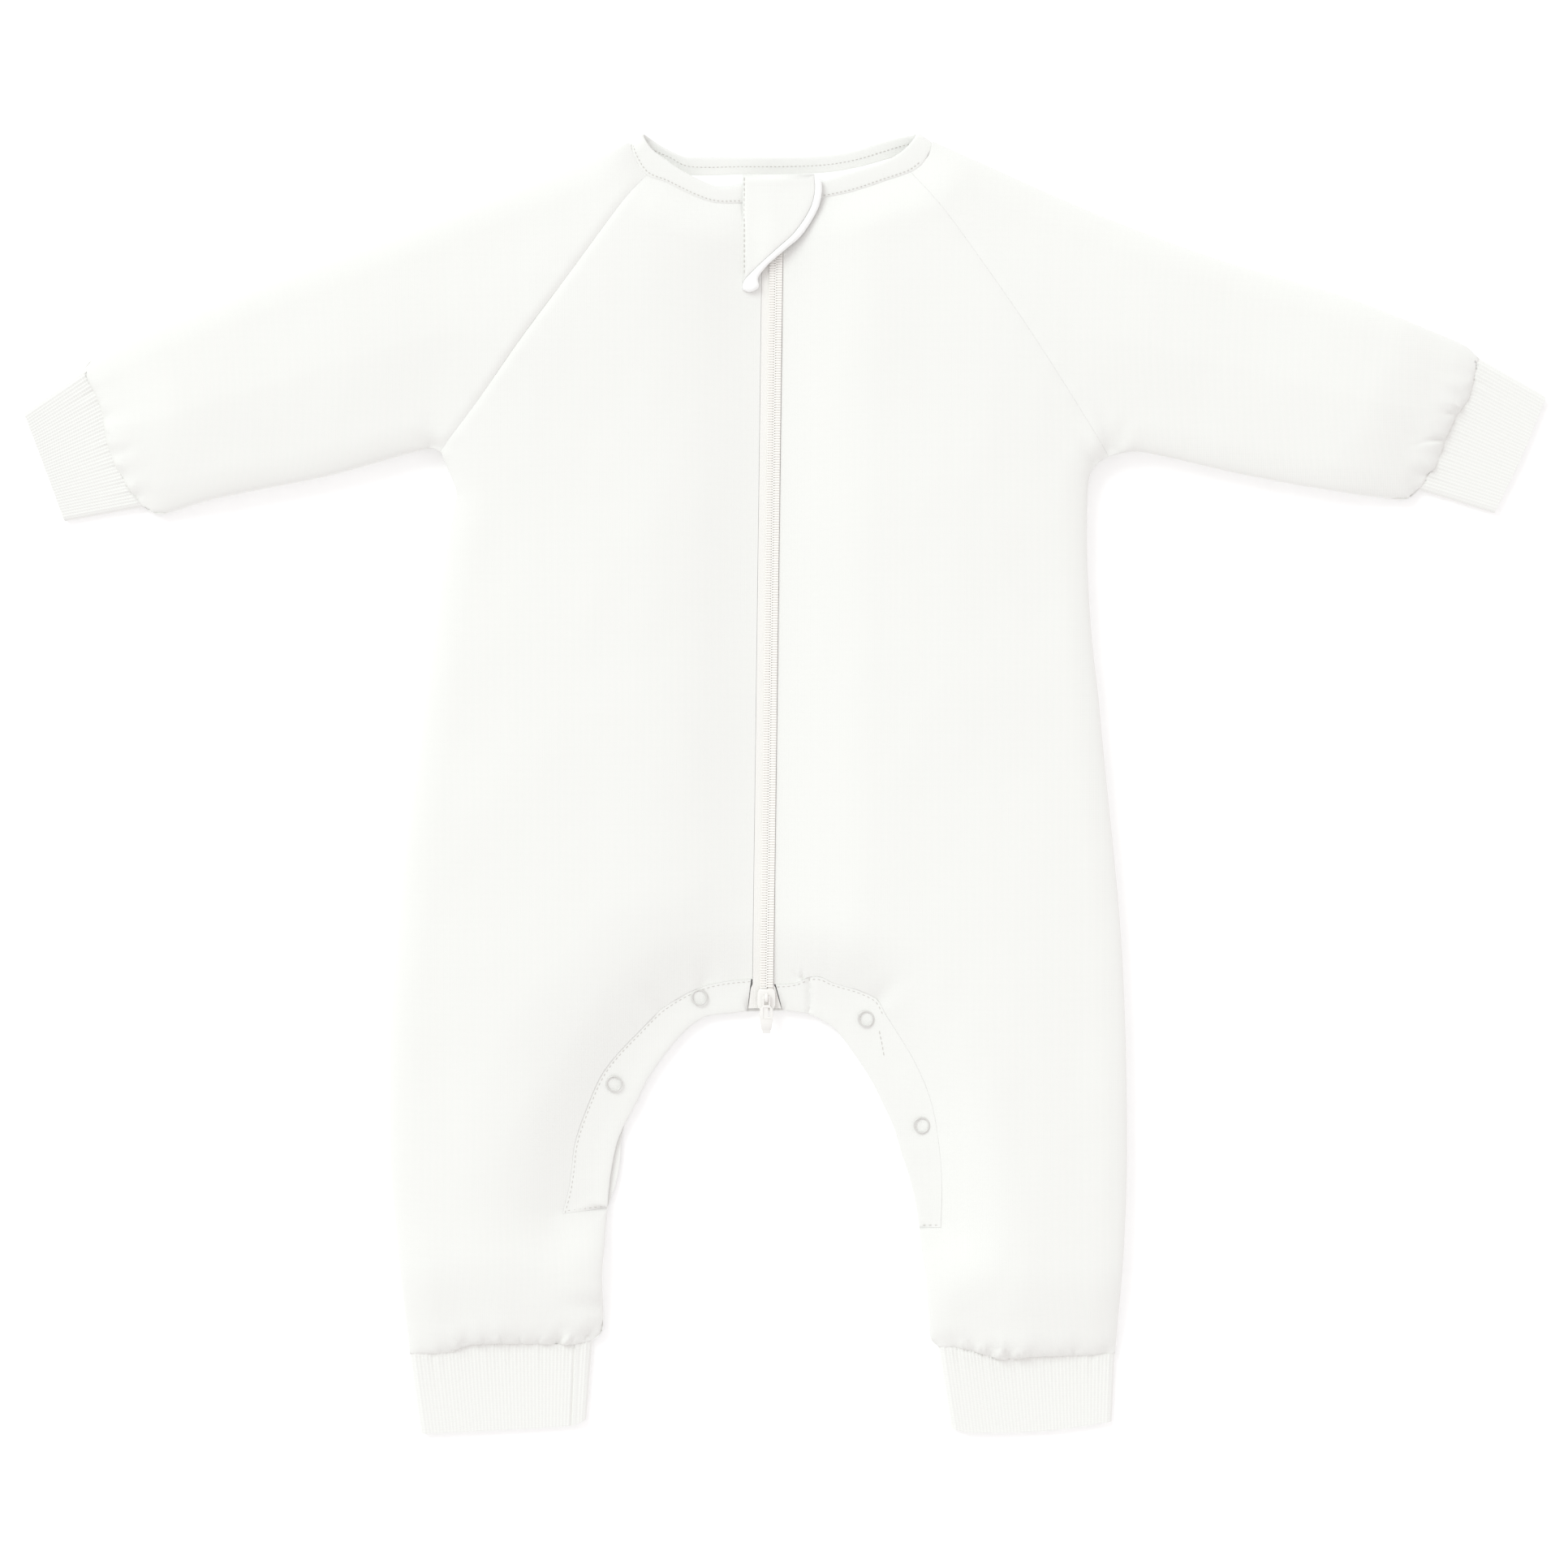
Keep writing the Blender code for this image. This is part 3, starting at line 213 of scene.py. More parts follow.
def make_knit_group():
    """Rows of bowed loops along each rib, with fuzz, and painted shade: darker between the ribs and
    in the dips of the loops.
    """
    group, given = new_group("rib_loops_painted_shade", Rib=RIB_PITCH, Loop=LOOP_PITCH)
    split = group.nodes.new("ShaderNodeSeparateXYZ")
    group.links.new(given["Vector"], split.inputs[0])
    across = maths(group, "MULTIPLY", split.outputs["X"],
                   maths(group, "DIVIDE", math.tau, given["Rib"]))
    crown = maths(group, "COSINE", across)
    bowed = maths(group, "MULTIPLY", maths(group, "ABSOLUTE", maths(group, "SINE", across)),
                  RIB_BOW)
    down = maths(group, "MULTIPLY", split.outputs["Y"],
                 maths(group, "DIVIDE", math.tau, given["Loop"]))
    loop = maths(group, "SINE", maths(group, "ADD", down, bowed))
    fuzz = noise_field(group, given["Vector"], RIB_FUZZ_SIZE, 3.0)
    return put_out(group, height=blend(group, (loop, 0.22), (fuzz, 0.4)),
                   # painted shade: the colour is lighter on each rib's crown and raised loop, and
                   # darker in the hollows between them
                   shade=blend(group, (loop, 0.01), 0.972, (crown, 0.012)))


jersey_grain, rib_loops_painted_shade = make_jersey_group(), make_knit_group()
print("node groups:", [group.name for group in bpy.data.node_groups])


# %% A finish from a group: shade the colour, raise the surface
DULL_SHINE, BUMP_STRENGTH = 0.25, 0.6


def finish(name, group, colour, roughness, relief, sheen=0.0, metallic=0.0, coordinates="Object",
           **inputs):
    """A material whose colour a group shades and whose surface it raises by `relief` metres."""
    made = bpy.data.materials.new(name)
    made.use_nodes = True
    tree = made.node_tree
    shader = tree.nodes["Principled BSDF"]
    for label, value in (("Base Color", (*colour, 1)), ("Roughness", roughness),
                         ("Metallic", metallic), ("Sheen Weight", sheen),
                         ("Sheen Roughness", 0.5), ("Specular IOR Level", DULL_SHINE)):
        shader.inputs[label].default_value = value
    where = tree.nodes.new("ShaderNodeTexCoord")
    effect = tree.nodes.new("ShaderNodeGroup")
    effect.node_tree = group
    tree.links.new(where.outputs[coordinates], effect.inputs["Vector"])
    for label, value in inputs.items():
        effect.inputs[label].default_value = value
    tint = tree.nodes.new("ShaderNodeMix")
    tint.data_type = "RGBA"
    tint.blend_type = "MULTIPLY"
    tint.inputs["Factor"].default_value = 1.0
    tint.inputs["A"].default_value = (*colour, 1)
    grey = tree.nodes.new("ShaderNodeCombineColor")
    for channel in ("Red", "Green", "Blue"):
        tree.links.new(effect.outputs["Shade"], grey.inputs[channel])
    tree.links.new(grey.outputs[0], tint.inputs["B"])
    tree.links.new(tint.outputs["Result"], shader.inputs["Base Color"])
    bump = tree.nodes.new("ShaderNodeBump")
    bump.inputs["Strength"].default_value = BUMP_STRENGTH
    bump.inputs["Distance"].default_value = relief
    tree.links.new(effect.outputs["Height"], bump.inputs["Height"])
    tree.links.new(bump.outputs[0], shader.inputs["Normal"])
    return made


IVORY = (0.872, 0.870, 0.848)
RIB_IVORY = (0.894, 0.890, 0.868)
LINING = (0.97, 0.97, 0.965)
shell_cotton = finish("shell_cotton_jersey", jersey_grain, IVORY, 0.9, relief=0.00012,
                      sheen=0.08, Pitch=0.0009, Slub=0.6)
lining_cotton = finish("lining_cotton", jersey_grain, LINING, 0.9, relief=0.0001, Pitch=0.0008,
                       Slub=0.3)
binding_cotton = finish("binding_cotton", jersey_grain, LINING, 0.85, relief=0.0001,
                        Pitch=0.0006, Slub=0.3)
rib_knit = finish("rib_knit_cotton", rib_loops_painted_shade, RIB_IVORY, 0.92, relief=0.00016, sheen=0.08,
                  coordinates="UV", Rib=RIB_PITCH, Loop=LOOP_PITCH)
print("cloth finishes:", shell_cotton.name, lining_cotton.name, binding_cotton.name, rib_knit.name)

# %% Tape, thread, nylon and metal
# the stitches' grey is painted shade: it stands for the shadow in each stitch hole
TAPE_COLOUR, STITCH_SHADE_COLOUR = (0.905, 0.888, 0.862), (0.66, 0.64, 0.61)
tape_weave = finish("zip_tape_weave", jersey_grain, TAPE_COLOUR, 0.8, relief=0.0002,
                    Pitch=0.0007, Slub=0.2)
thread = finish("sewing_thread_painted_shade", jersey_grain, STITCH_SHADE_COLOUR, 0.6, relief=0.00005, sheen=0.1,
                Pitch=0.0003, Slub=0.2)


def make_wear_group():
    """Slight cloudiness and fine scratches for moulded and cast parts."""
    group, given = new_group("cast_finish", Size=900.0)
    cloud = noise_field(group, given["Vector"], given["Size"], 3.0)
    scratch = noise_field(group, given["Vector"], given["Size"], 2.0, (8, 1, 1))
    height = blend(group, (cloud, 0.6), (scratch, 0.4))
    return put_out(group, height, shade=blend(group, (height, 0.05), 0.95))


cast_finish = make_wear_group()
NYLON_COLOUR, ENAMEL_COLOUR = (0.955, 0.935, 0.905), (0.93, 0.915, 0.89)
SNAP_COLOUR = (0.73, 0.72, 0.70)
zip_nylon = finish("zip_nylon", cast_finish, NYLON_COLOUR, 0.4, relief=0.00003, Size=1500.0)
zip_metal = finish("zip_enamel", cast_finish, ENAMEL_COLOUR, 0.26, relief=0.00003, metallic=0.15,
                   Size=900.0)
snap_metal = finish("snap_metal", cast_finish, SNAP_COLOUR, 0.35, relief=0.00002, metallic=0.3,
                    Size=1200.0)
print("hard finishes:", zip_nylon.name, zip_metal.name, snap_metal.name)

# %% Floor
FLOOR_GLOW = 0.15  # a light table, so that the floor stays white beside the garment
FLOOR_SIZE, FLOOR_BELOW = 6.0, 0.0006  # metres; it lies just below the cloth that rests on it
FLOOR_COLOUR = (0.96, 0.96, 0.96)
floor_white = finish("floor_paper", cast_finish, FLOOR_COLOUR, 0.95, relief=0.00002, Size=40.0)
floor_shader = floor_white.node_tree.nodes["Principled BSDF"]
floor_shader.inputs["Emission Color"].default_value = (1, 1, 1, 1)
floor_shader.inputs["Emission Strength"].default_value = FLOOR_GLOW
bpy.ops.mesh.primitive_plane_add(size=FLOOR_SIZE, location=(0, 0, -FLOOR_BELOW))
floor = bpy.context.object
floor.name = "floor"
bpy.ops.object.transform_apply(location=True, rotation=True, scale=True)
floor.data.materials.append(floor_white)
print("floor", tuple(round(v, 2) for v in floor.dimensions))

# %% [markdown]
# ## The cut of the cloth
#
# A pattern cutter draws each seam once and gives it to both of the pieces that it joins. So each
# seam here is one short table of points, in millimetres, and a smooth curve passes through them.
# Left and right are drawn apart, because the garment was laid down by hand and is not symmetrical.

# %% Seams and folds: x, y of each point
SIDE_SEAM = {
    "left": ((-170, 164), (-164.5, 151), (-162, 142.5), (-165, 125), (-170, 95), (-175, 59),
             (-181.5, 11), (-186.5, -25), (-191, -73), (-194, -109), (-195, -145), (-194.5, -185),
             (-191.5, -221), (-188, -257), (-185.5, -281)),
    "right": ((159, 161.5), (153, 157.5), (149.5, 151), (148.5, 139), (148.5, 111), (150.5, 75),
              (154, 43), (157, 11), (161.5, -33), (165, -73), (167, -113), (168, -153),
              (168, -193), (166.5, -229), (164.5, -257), (162.5, -281)),
}
RAGLAN_SEAM = {  # from the neck to the armpit
    "left": ((-68.5, 300), (-80.5, 286), (-107, 250), (-131, 217.5), (-151, 189), (-170, 164)),
    "right": ((61.5, 301.5), (79, 281), (97, 256), (117.5, 226.5), (138, 195), (159, 161.5)),
}
SHOULDER_FOLD = {  # from the neck to the wrist
    "left": ((-77, 316), (-106, 304.5), (-144, 289), (-187, 272.5), (-230, 256.5), (-272, 240.5),
             (-312, 224.5), (-331, 215.5), (-342, 209.5), (-347, 204)),
    "right": ((72.5, 316.5), (99.5, 304.5), (135, 288.5), (174, 272.5), (219, 256.5),
              (274, 240.5), (315.5, 224.5), (334, 217), (342, 210.5)),
}
UNDERARM_SEAM = {  # from the armpit to the wrist
    "left": ((-170, 164), (-175, 165.5), (-183, 164), (-223.5, 152.5), (-263, 144.5),
             (-286.5, 139.5), (-305, 134), (-312, 134), (-317, 137)),
    "right": ((159, 161.5), (171, 164), (185, 162), (226.5, 152.5), (271, 144.5), (299, 141),
              (307, 141), (312.5, 145.5)),
}
WRIST_SEAM = {  # from the shoulder fold to the underarm seam
    "left": ((-347, 204), (-338.5, 187.5), (-335, 169.5), (-331, 158), (-324.5, 146.5),
             (-317, 137)),
    "right": ((342, 210.5), (340, 202), (337, 190.5), (331, 182), (325, 169), (322, 159.5),
              (317, 152), (312.5, 145.5)),
}
WRIST_HEM = {
    "left": ((-376, 183.5), (-366, 157), (-356, 130)),
    "right": ((375.5, 191.5), (364, 163), (350, 134)),
}
ANKLE_SEAM = {  # from the side seam to the inseam
    "left": ((-185.5, -281), (-167, -280.5), (-155, -276.5), (-131, -276), (-107, -276.5),
             (-95.5, -274.5)),
    "right": ((162.5, -281), (153, -281.5), (121, -282.5), (107.5, -284), (98.5, -281.5),
              (87, -278.5), (75.5, -277.5)),
}
ANKLE_HEM = {
    "left": ((-180, -320.5), (-147, -319), (-107, -316.5), (-98.5, -313.5)),
    "right": ((161, -314.5), (129, -319), (93, -320), (82, -318)),
}
INSEAM = {  # from the cuff up to the end of the snap band
    "left": ((-95.5, -274.5), (-91, -270.5), (-90, -264), (-90.5, -241.5), (-89.5, -229.5),
             (-88, -209)),
    "right": ((75.5, -277.5), (71.5, -273), (70.5, -262), (69, -241.5), (67, -229.5),
              (66, -218.5)),
}
CROTCH_EDGE = {  # the snap band's free edge, from its end on the inseam up to the zip
    "left": ((-88, -209), (-86.5, -194), (-83.5, -178), (-79, -167), (-73.5, -157),
             (-68, -145.5), (-59, -132.5), (-49, -121), (-39, -114.5), (-27, -113), (-19, -112)),
    "right": ((66, -218.5), (64, -205.5), (61, -193.5), (57, -181.5), (53.5, -169.5),
              (48, -157.5), (42, -145.5), (33.5, -132.5), (24, -120.5), (13, -114), (6.5, -112.5),
              (-1.5, -111.5)),
}
BACK_CROTCH_EDGE_LEFT = (  # the back layer shows past the left snap band here
    (-88, -209), (-84, -197), (-82, -187), (-81, -175), (-78.5, -165), (-73.5, -156),
    (-68, -145), (-59, -132), (-49, -120.5), (-39, -114), (-27, -112.5), (-17, -112))
BAND_SEAM = {  # where the front is sewn to the snap band, from the band's end up to the zip
    "left": ((-110, -211.5), (-107, -200), (-105.5, -190), (-104, -177.5), (-100.5, -166),
             (-95, -152), (-91.5, -144.5), (-86.5, -137), (-78.5, -128), (-72, -121.5),
             (-62, -111.5), (-50.5, -104), (-40, -99.5), (-28.5, -97), (-17, -96)),
    "right": ((76.5, -218.5), (77, -200), (76, -181.5), (72, -157.5), (64, -137.5),
              (54.5, -121.5), (49, -113), (45, -106), (36, -101.5), (29, -99.5), (22.5, -97.5),
              (17.5, -95), (11.5, -95), (6, -97.5), (0, -98.5), (-4.9, -98.6)),
}
FRONT_NECK_SEAM = {  # where the front and the sleeve meet the neckband, from the zip
    "left": ((-11.5, 286), (-21, 286.5), (-34.5, 286.5), (-45.5, 290), (-59, 296.5),
             (-68.5, 300), (-73, 306), (-77, 316)),
    "right": ((-0.5, 286), (18, 289), (33, 292), (48.5, 297), (61.5, 301.5), (67, 305.5),
              (71, 311), (72.5, 316.5)),
}
NECK_PIECES_MEET = {"left": 5, "right": 4}  # the point of the neck seam where the raglan ends
BACK_NECK_SEAM = ((-73.5, 309), (-69, 311), (-61, 308), (-49.5, 301), (-21, 301), (13.5, 301.5),
                  (33, 304), (50, 308.5), (62, 312), (69.5, 312))
ZIP_TOP, ZIP_FOOT = (-4.4, 286.0), (-9.4, -99.5)  # the middle of the chain
ZIP_LEFT_EDGE, ZIP_RIGHT_EDGE = 7.0, 3.5  # from there to the fronts' folded edges
print("seam tables:", len(SIDE_SEAM["left"]), "points down the left side")

# %% Curves through the tables
SIDES = ("left", "right")
SAME_POINT = 0.25  # points closer than this are one


def through(points, step):
    """Points about `step` apart on the smooth curve that passes through every given point."""
    ends = [Vector(p) for p in points]
    ends = [2 * ends[0] - ends[1]] + ends + [2 * ends[-1] - ends[-2]]
    found = [ends[1]]
    for before, start, end, after in zip(ends, ends[1:], ends[2:], ends[3:]):
        count = max(1, round((end - start).length / step))
        for i in range(1, count + 1):
            t = i / count
            found.append(0.5 * (2 * start + (end - before) * t
                                + (2 * before - 5 * start + 4 * end - after) * t ** 2
                                + (3 * start - before - 3 * end + after) * t ** 3))
    return [tuple(p) for p in found]


def joined(*edges):
    """One closed loop, anticlockwise, from edges that follow each other."""
    loop = []
    for edge in edges:
        loop += [p for p in edge if not loop or math.dist(p, loop[-1]) > SAME_POINT]
    if math.dist(loop[0], loop[-1]) < SAME_POINT:
        loop.pop()
    turned = sum(a[0] * b[1] - b[0] * a[1] for a, b in zip(loop, loop[1:] + loop[:1]))
    return loop if turned > 0 else loop[::-1]


def inset(loop, distance):
    """Each point of an anticlockwise loop moved inwards, square to its two neighbours."""
    moved = []
    for before, here, after in zip(loop[-1:] + loop[:-1], loop, loop[1:] + loop[:1]):
        along = Vector(after) - Vector(before)
        inwards = Vector((-along.y, along.x)).normalized()
        moved.append(tuple(Vector(here) + inwards * distance))
    return moved


def along_edge(points, edge):
    """The distance of each point to a polyline, and how far along it the nearest place is."""
    points = np.asarray(points, float).reshape(-1, 2)
    nearest, place = np.full(len(points), np.inf), np.zeros(len(points))
    passed = 0.0
    line = np.asarray(edge, float)
    for start, end in zip(line, line[1:]):
        run = end - start
        length = math.hypot(*run)
        share = np.clip((points - start) @ run / max(length ** 2, 1e-9), 0, 1)
        away = points - start - share[:, None] * run
        away = np.hypot(away[:, 0], away[:, 1])
        closer = away < nearest
        nearest = np.where(closer, away, nearest)
        place = np.where(closer, passed + share * length, place)
        passed += length
    return nearest, place


def distance(points, *edges):
    """The distance of each point to the nearest of these polylines."""
    return np.min([along_edge(points, edge)[0] for edge in edges], axis=0)


def inside(points, loop):
    """Which of the points are inside a loop."""
    points = np.asarray(points, float).reshape(-1, 2)
    found = np.zeros(len(points), bool)
    for (ax, ay), (bx, by) in zip(loop, loop[1:] + loop[:1]):
        crosses = (ay > points[:, 1]) != (by > points[:, 1])
        at = ax + (points[:, 1] - ay) * (bx - ax) / (by - ay if by != ay else 1e-9)
        found ^= crosses & (points[:, 0] < at)
    return found


# %% The seams as curves
CURVE_STEP = 6.0
SILHOUETTE = [through(table[side], CURVE_STEP) for side in SIDES
              for table in (SIDE_SEAM, SHOULDER_FOLD, UNDERARM_SEAM, INSEAM)]
CROTCH = [through(CROTCH_EDGE[side], CURVE_STEP) for side in SIDES]
CROTCH.append([CROTCH_EDGE["left"][-1], CROTCH_EDGE["right"][-1]])
CUFF_SEAMS = [through(table[side], CURVE_STEP) for side in SIDES
              for table in (WRIST_SEAM, ANKLE_SEAM)]
RAGLANS = [through(RAGLAN_SEAM[side], CURVE_STEP) for side in SIDES]
FRONT_NECK = [through(FRONT_NECK_SEAM[side], CURVE_STEP) for side in SIDES]
BACK_NECK = through(BACK_NECK_SEAM, CURVE_STEP)
BANDS = [through(BAND_SEAM[side], CURVE_STEP) for side in SIDES]


def zip_x(y, offset=0.0):
    """The middle of the zip chain at this height, moved sideways by `offset`."""
    share = (y - ZIP_FOOT[1]) / (ZIP_TOP[1] - ZIP_FOOT[1])
    return ZIP_FOOT[0] + share * (ZIP_TOP[0] - ZIP_FOOT[0]) + offset


def zip_edge(offset, top, foot, step):
    """Points down a line beside the middle of the zip."""
    count = max(1, round(abs(top - foot) / step))
    heights = [top + (foot - top) * i / count for i in range(count + 1)]
    return [(zip_x(y, offset), y) for y in heights]


ZIP_OFFSET = {"left": -ZIP_LEFT_EDGE, "right": ZIP_RIGHT_EDGE}
WHOLE_ZIP = 400  # a step longer than the zip, so that its straight edge is one length
ZIP_EDGES = [zip_edge(ZIP_OFFSET[side], ZIP_TOP[1], ZIP_FOOT[1], WHOLE_ZIP) for side in SIDES]
print("curves:", len(SILHOUETTE), "silhouette edges")

# %% [markdown]
# ## How the cloth lies
#
# Each wadded wall is full in the middle and pressed flat where a seam holds it. That is a height
# over the plane, so one function of x and y gives the whole surface, and neighbours meet exactly.
# Cloth simulation would swell the panels too, but a height keeps the seams where the photograph has
# them and gives the same result every time. Broad swells, puckers beside seams, gathers above the
# cuffs and single folds are then added on top.

# %% Wadding and seam levels
EDGE_WALL = 1.6
THIN_AT_FOLD = 0.8  # a narrow fold at a seam presses this much into the edge's own wall
LOFT_SIDE, LOFT_MIDDLE, LOFT_MIDDLE_REACH = 8.6, 11.0, 70.0
LEVEL_BODY, LEVEL_CUFF, LEVEL_CROTCH, LEVEL_REACH = 9.35, 3.0, 3.6, 45.0
LAYER_EASE, EASE_REACH = 0.9, 15.0
SEAM_GAP = 0.3
BACK_NECK_TOP, BACK_NECK_UNDER, BACK_NECK_ROUND = 4.6, 1.8, 10.0


def smooth(share):
    """From 0 to 1, level at both ends."""
    share = np.clip(share, 0, 1)
    return share * share * (3 - 2 * share)


def rounded(share):
    """From 0 to 1 as a quarter circle: the cloth turns over at its edge."""
    return np.sqrt(1 - (1 - np.clip(share, 0, 1)) ** 2)


def eased(share):
    """From 0 to 1 as a gentle slope: the cloth is pulled down to a seam without turning over."""
    return np.sin(0.5 * math.pi * np.clip(share, 0, 1))


PRESSED = (  # edges, profile, how far in the wall is pressed, share of the loft lost at the edge
    (SILHOUETTE, rounded, 15.0, 1.0), (SILHOUETTE, eased, 46.0, 0.24),
    (CUFF_SEAMS, rounded, 12.0, 0.9), (FRONT_NECK, eased, 22.0, 0.97),
    ([BANDS[0]], eased, 56.0, 0.85), ([BANDS[1]], eased, 34.0, 0.88),
    ([RAGLANS[0]], eased, 3.5, 0.15), ([RAGLANS[1]], eased, 3.5, 0.07),
    ([ZIP_EDGES[0]], eased, 60.0, 0.86), ([ZIP_EDGES[1]], eased, 48.0, 0.80))


def seam_level(points):
    """The height at which the front layer meets the back layer."""
    cuff = 1 - smooth(distance(points, *CUFF_SEAMS) / LEVEL_REACH)
    crotch = 1 - smooth(distance(points, *CROTCH) / LEVEL_REACH)
    return (LEVEL_BODY - (LEVEL_BODY - LEVEL_CUFF) * cuff
            - (LEVEL_BODY - LEVEL_CROTCH) * crotch).clip(LEVEL_CUFF)


def ripple(places, size, seed):
    """Smooth noise, -1 to 1, at these places: one number each, or a pair for a surface."""
    found = [noise.noise(Vector((*np.atleast_1d(p / size), seed))) if np.ndim(p) else
             noise.noise(Vector((p / size, 0.37 * seed, seed))) for p in places]
    return np.array(found)


# %% Single folds: x, y at the seam, heading in degrees, length, half width, depth
FOLDS = (
    (-157, -275, 92, 9, 2.6, 1.6), (-125, -275, 84, 8, 2.4, 1.3), (-113, -275, 62, 13, 2.4, 2.4),
    (-97, -272, 55, 10, 2.6, 1.6), (-91, -257, 176, 22, 4.0, 1.4), (-140, -275, 95, 6, 2.2, 1.0),
    (-168, -280, 80, 7, 2.6, 0.9),
    (84, -278, 95, 7, 2.2, 1.2), (92, -279, 88, 8, 2.2, 1.4), (101, -281, 84, 9, 2.4, 1.6),
    (110, -283, 80, 9, 2.4, 1.5), (120, -282, 92, 7, 2.4, 1.1), (138, -281, 90, 6, 2.6, 0.8),
    (157, -281, 38, 9, 3.0, 1.6),
    (331, 182, 168, 14, 2.4, 1.1), (325, 169, 172, 23, 2.6, 0.8), (323, 162, 160, 10, 2.2, 1.0),
    (318, 153, 176, 11, 2.4, 1.6), (338, 195, 190, 8, 2.6, 1.0),
    (-337, 181, 350, 9, 2.6, 1.0), (-333, 164, 355, 11, 2.6, 1.3), (-328, 152, 8, 10, 2.4, 1.4),
    (-321, 142, 12, 10, 2.4, 1.5),
    (-172, 165, 152, 16, 3.0, 1.8), (-170, 166, 118, 20, 3.2, 1.2), (-167, 158, 296, 12, 3.0, 1.0),
    (160, 163, 104, 24, 3.4, 2.0), (163, 164, 74, 17, 3.0, 1.6), (152, 158, 118, 14, 3.0, 1.6),
    (155, 160, 62, 26, 3.6, 1.3),
    (8.6, -97, 96, 7, 0.9, 2.2), (6.5, -96, 128, 6, 1.4, 1.0), (-38, -99, 100, 15, 4.0, 1.2),
    (-60, -110, 128, 18, 4.0, 1.0), (46, -106, 52, 16, 4.0, 1.0),
    (331, 184, 150, 6, 1.0, 1.5), (330.5, 183, 186, 7, 1.0, 1.5), (330.5, 185, 118, 5, 0.9, 1.2),
    (325, 170.6, 193, 21, 1.1, 1.1), (323, 169.5, 179, 12, 1.0, 1.1), (319, 153, 190, 8, 1.0, 1.1),
    (314, 146, 196, 8, 1.0, 1.2), (-131, -275.5, 88, 4, 0.8, 1.5), (-140, -275.5, 97, 4, 0.8, 1.3),
    (-149, -276, 82, 3.5, 0.8, 1.3), (-122, -275.5, 70, 5, 0.9, 1.5),
    (-112, -275.5, 52, 9, 1.1, 1.8), (-106, -275.5, 60, 5, 0.9, 1.4),
    (-99, -273, 48, 6, 0.9, 1.2), (-160, -278, 100, 3.5, 0.8, 1.0),
    (88, -278, 92, 4, 0.8, 1.4), (96.5, -280, 84, 4, 0.8, 1.5), (106, -283, 95, 4, 0.8, 1.4),
    (115, -282.5, 86, 4, 0.8, 1.4), (127, -281.5, 98, 3.5, 0.8, 1.2), (142, -281, 80, 3, 0.8, 1.0),
)
RIDGE_SHARE, RIDGE_PLACE = 0.3, 2.0  # cloth pushed up on both sides of a trough
FOLD_START = 4  # how steeply a fold begins at its seam
NARROW_FOLD = 2.0  # half widths up to this one need a finer mesh
BROAD_FOLDS = [fold for fold in FOLDS if fold[4] > NARROW_FOLD]
NARROW_FOLDS = [fold for fold in FOLDS if fold[4] <= NARROW_FOLD]


def towards(heading):
    """The direction of this heading, in degrees from +X."""
    return np.array([math.cos(math.radians(heading)), math.sin(math.radians(heading))])


def fold_depth(points, folds=FOLDS):
    """Soft troughs, deepest near the seam where each one starts, with a low ridge on each side."""
    points = np.asarray(points, float).reshape(-1, 2)
    total = np.zeros(len(points))
    for x, y, heading, length, half_width, depth in folds:
        along = towards(heading)
        away = points - (x, y)
        run = away @ along / length
        aside = (away @ (-along[1], along[0])) / half_width
        fade = np.clip(1 - run, 0, 1) * smooth(run * FOLD_START + 1)
        trough = np.exp(-aside ** 2) - RIDGE_SHARE * np.exp(-(np.abs(aside) - RIDGE_PLACE) ** 2)
        total += depth * fade * trough
    return total


# %% Gathers and puckers: the seam, how deep, how far they reach, how close together
GATHERS = (
    (CUFF_SEAMS[0], 1.1, 10.0, 7.0), (CUFF_SEAMS[1], 1.2, 8.0, 5.5),
    (CUFF_SEAMS[2], 1.0, 10.0, 6.5), (CUFF_SEAMS[3], 1.3, 8.0, 5.5),
    (CUFF_SEAMS[0], 0.6, 4.0, 2.6), (CUFF_SEAMS[1], 0.9, 4.0, 2.4),
    (CUFF_SEAMS[2], 0.7, 4.0, 2.6), (CUFF_SEAMS[3], 0.8, 4.0, 2.4),
    (RAGLANS[0], 0.35, 6.0, 7.5), (RAGLANS[1], 0.22, 5.0, 8.0),
    (BANDS[0], 0.45, 7.0, 8.0), (BANDS[1], 0.35, 7.0, 8.0),
    (ZIP_EDGES[0], 0.3, 6.0, 9.0), (ZIP_EDGES[1], 0.25, 5.0, 10.0),
    (FRONT_NECK[0], 0.3, 5.0, 6.0), (FRONT_NECK[1], 0.3, 5.0, 6.0))
SWELL_SIZE, SWELL_HEIGHT = 55.0, 0.75
CREASE_SIZE, CREASE_HEIGHT, CREASE_STRETCH = 15.0, 0.16, (1.0, 0.55)
PUCKER_GAIN, SWELL_GAIN = 1.6, 1.4  # smooth noise rarely comes near 1
PUCKER_END = 3.5  # past this many reaches nothing is left of a pucker


def puckers(points):
    """Short ridges and hollows square to each seam, as sewing draws them into the cloth."""
    total = np.zeros(len(points))
    for number, (edge, depth, reach, pitch) in enumerate(GATHERS):
        away, place = along_edge(points, edge)
        near = away < PUCKER_END * reach
        wave = ripple(place[near], pitch, 3.1 + number)
        total[near] += depth * np.exp(-(away[near] / reach) ** 2) * PUCKER_GAIN * wave
    return total


def swells(points):
    """Broad unevenness of the wadding, and fine shallow creases of the cloth over it."""
    points = np.asarray(points, float).reshape(-1, 2)
    broad = ripple(points, SWELL_SIZE, 7.3)
    fine = ripple(points * CREASE_STRETCH, CREASE_SIZE, 2.9)
    return SWELL_HEIGHT * SWELL_GAIN * broad + CREASE_HEIGHT * SWELL_GAIN * fine


# %% The four faces of the cloth
UNEVEN_RISE = 1.3  # how soon past a seam the unevenness is whole
LEAST_RISE = 0.25  # no fold takes more than the rest of the wadding
NARROW_SHARE = 0.8


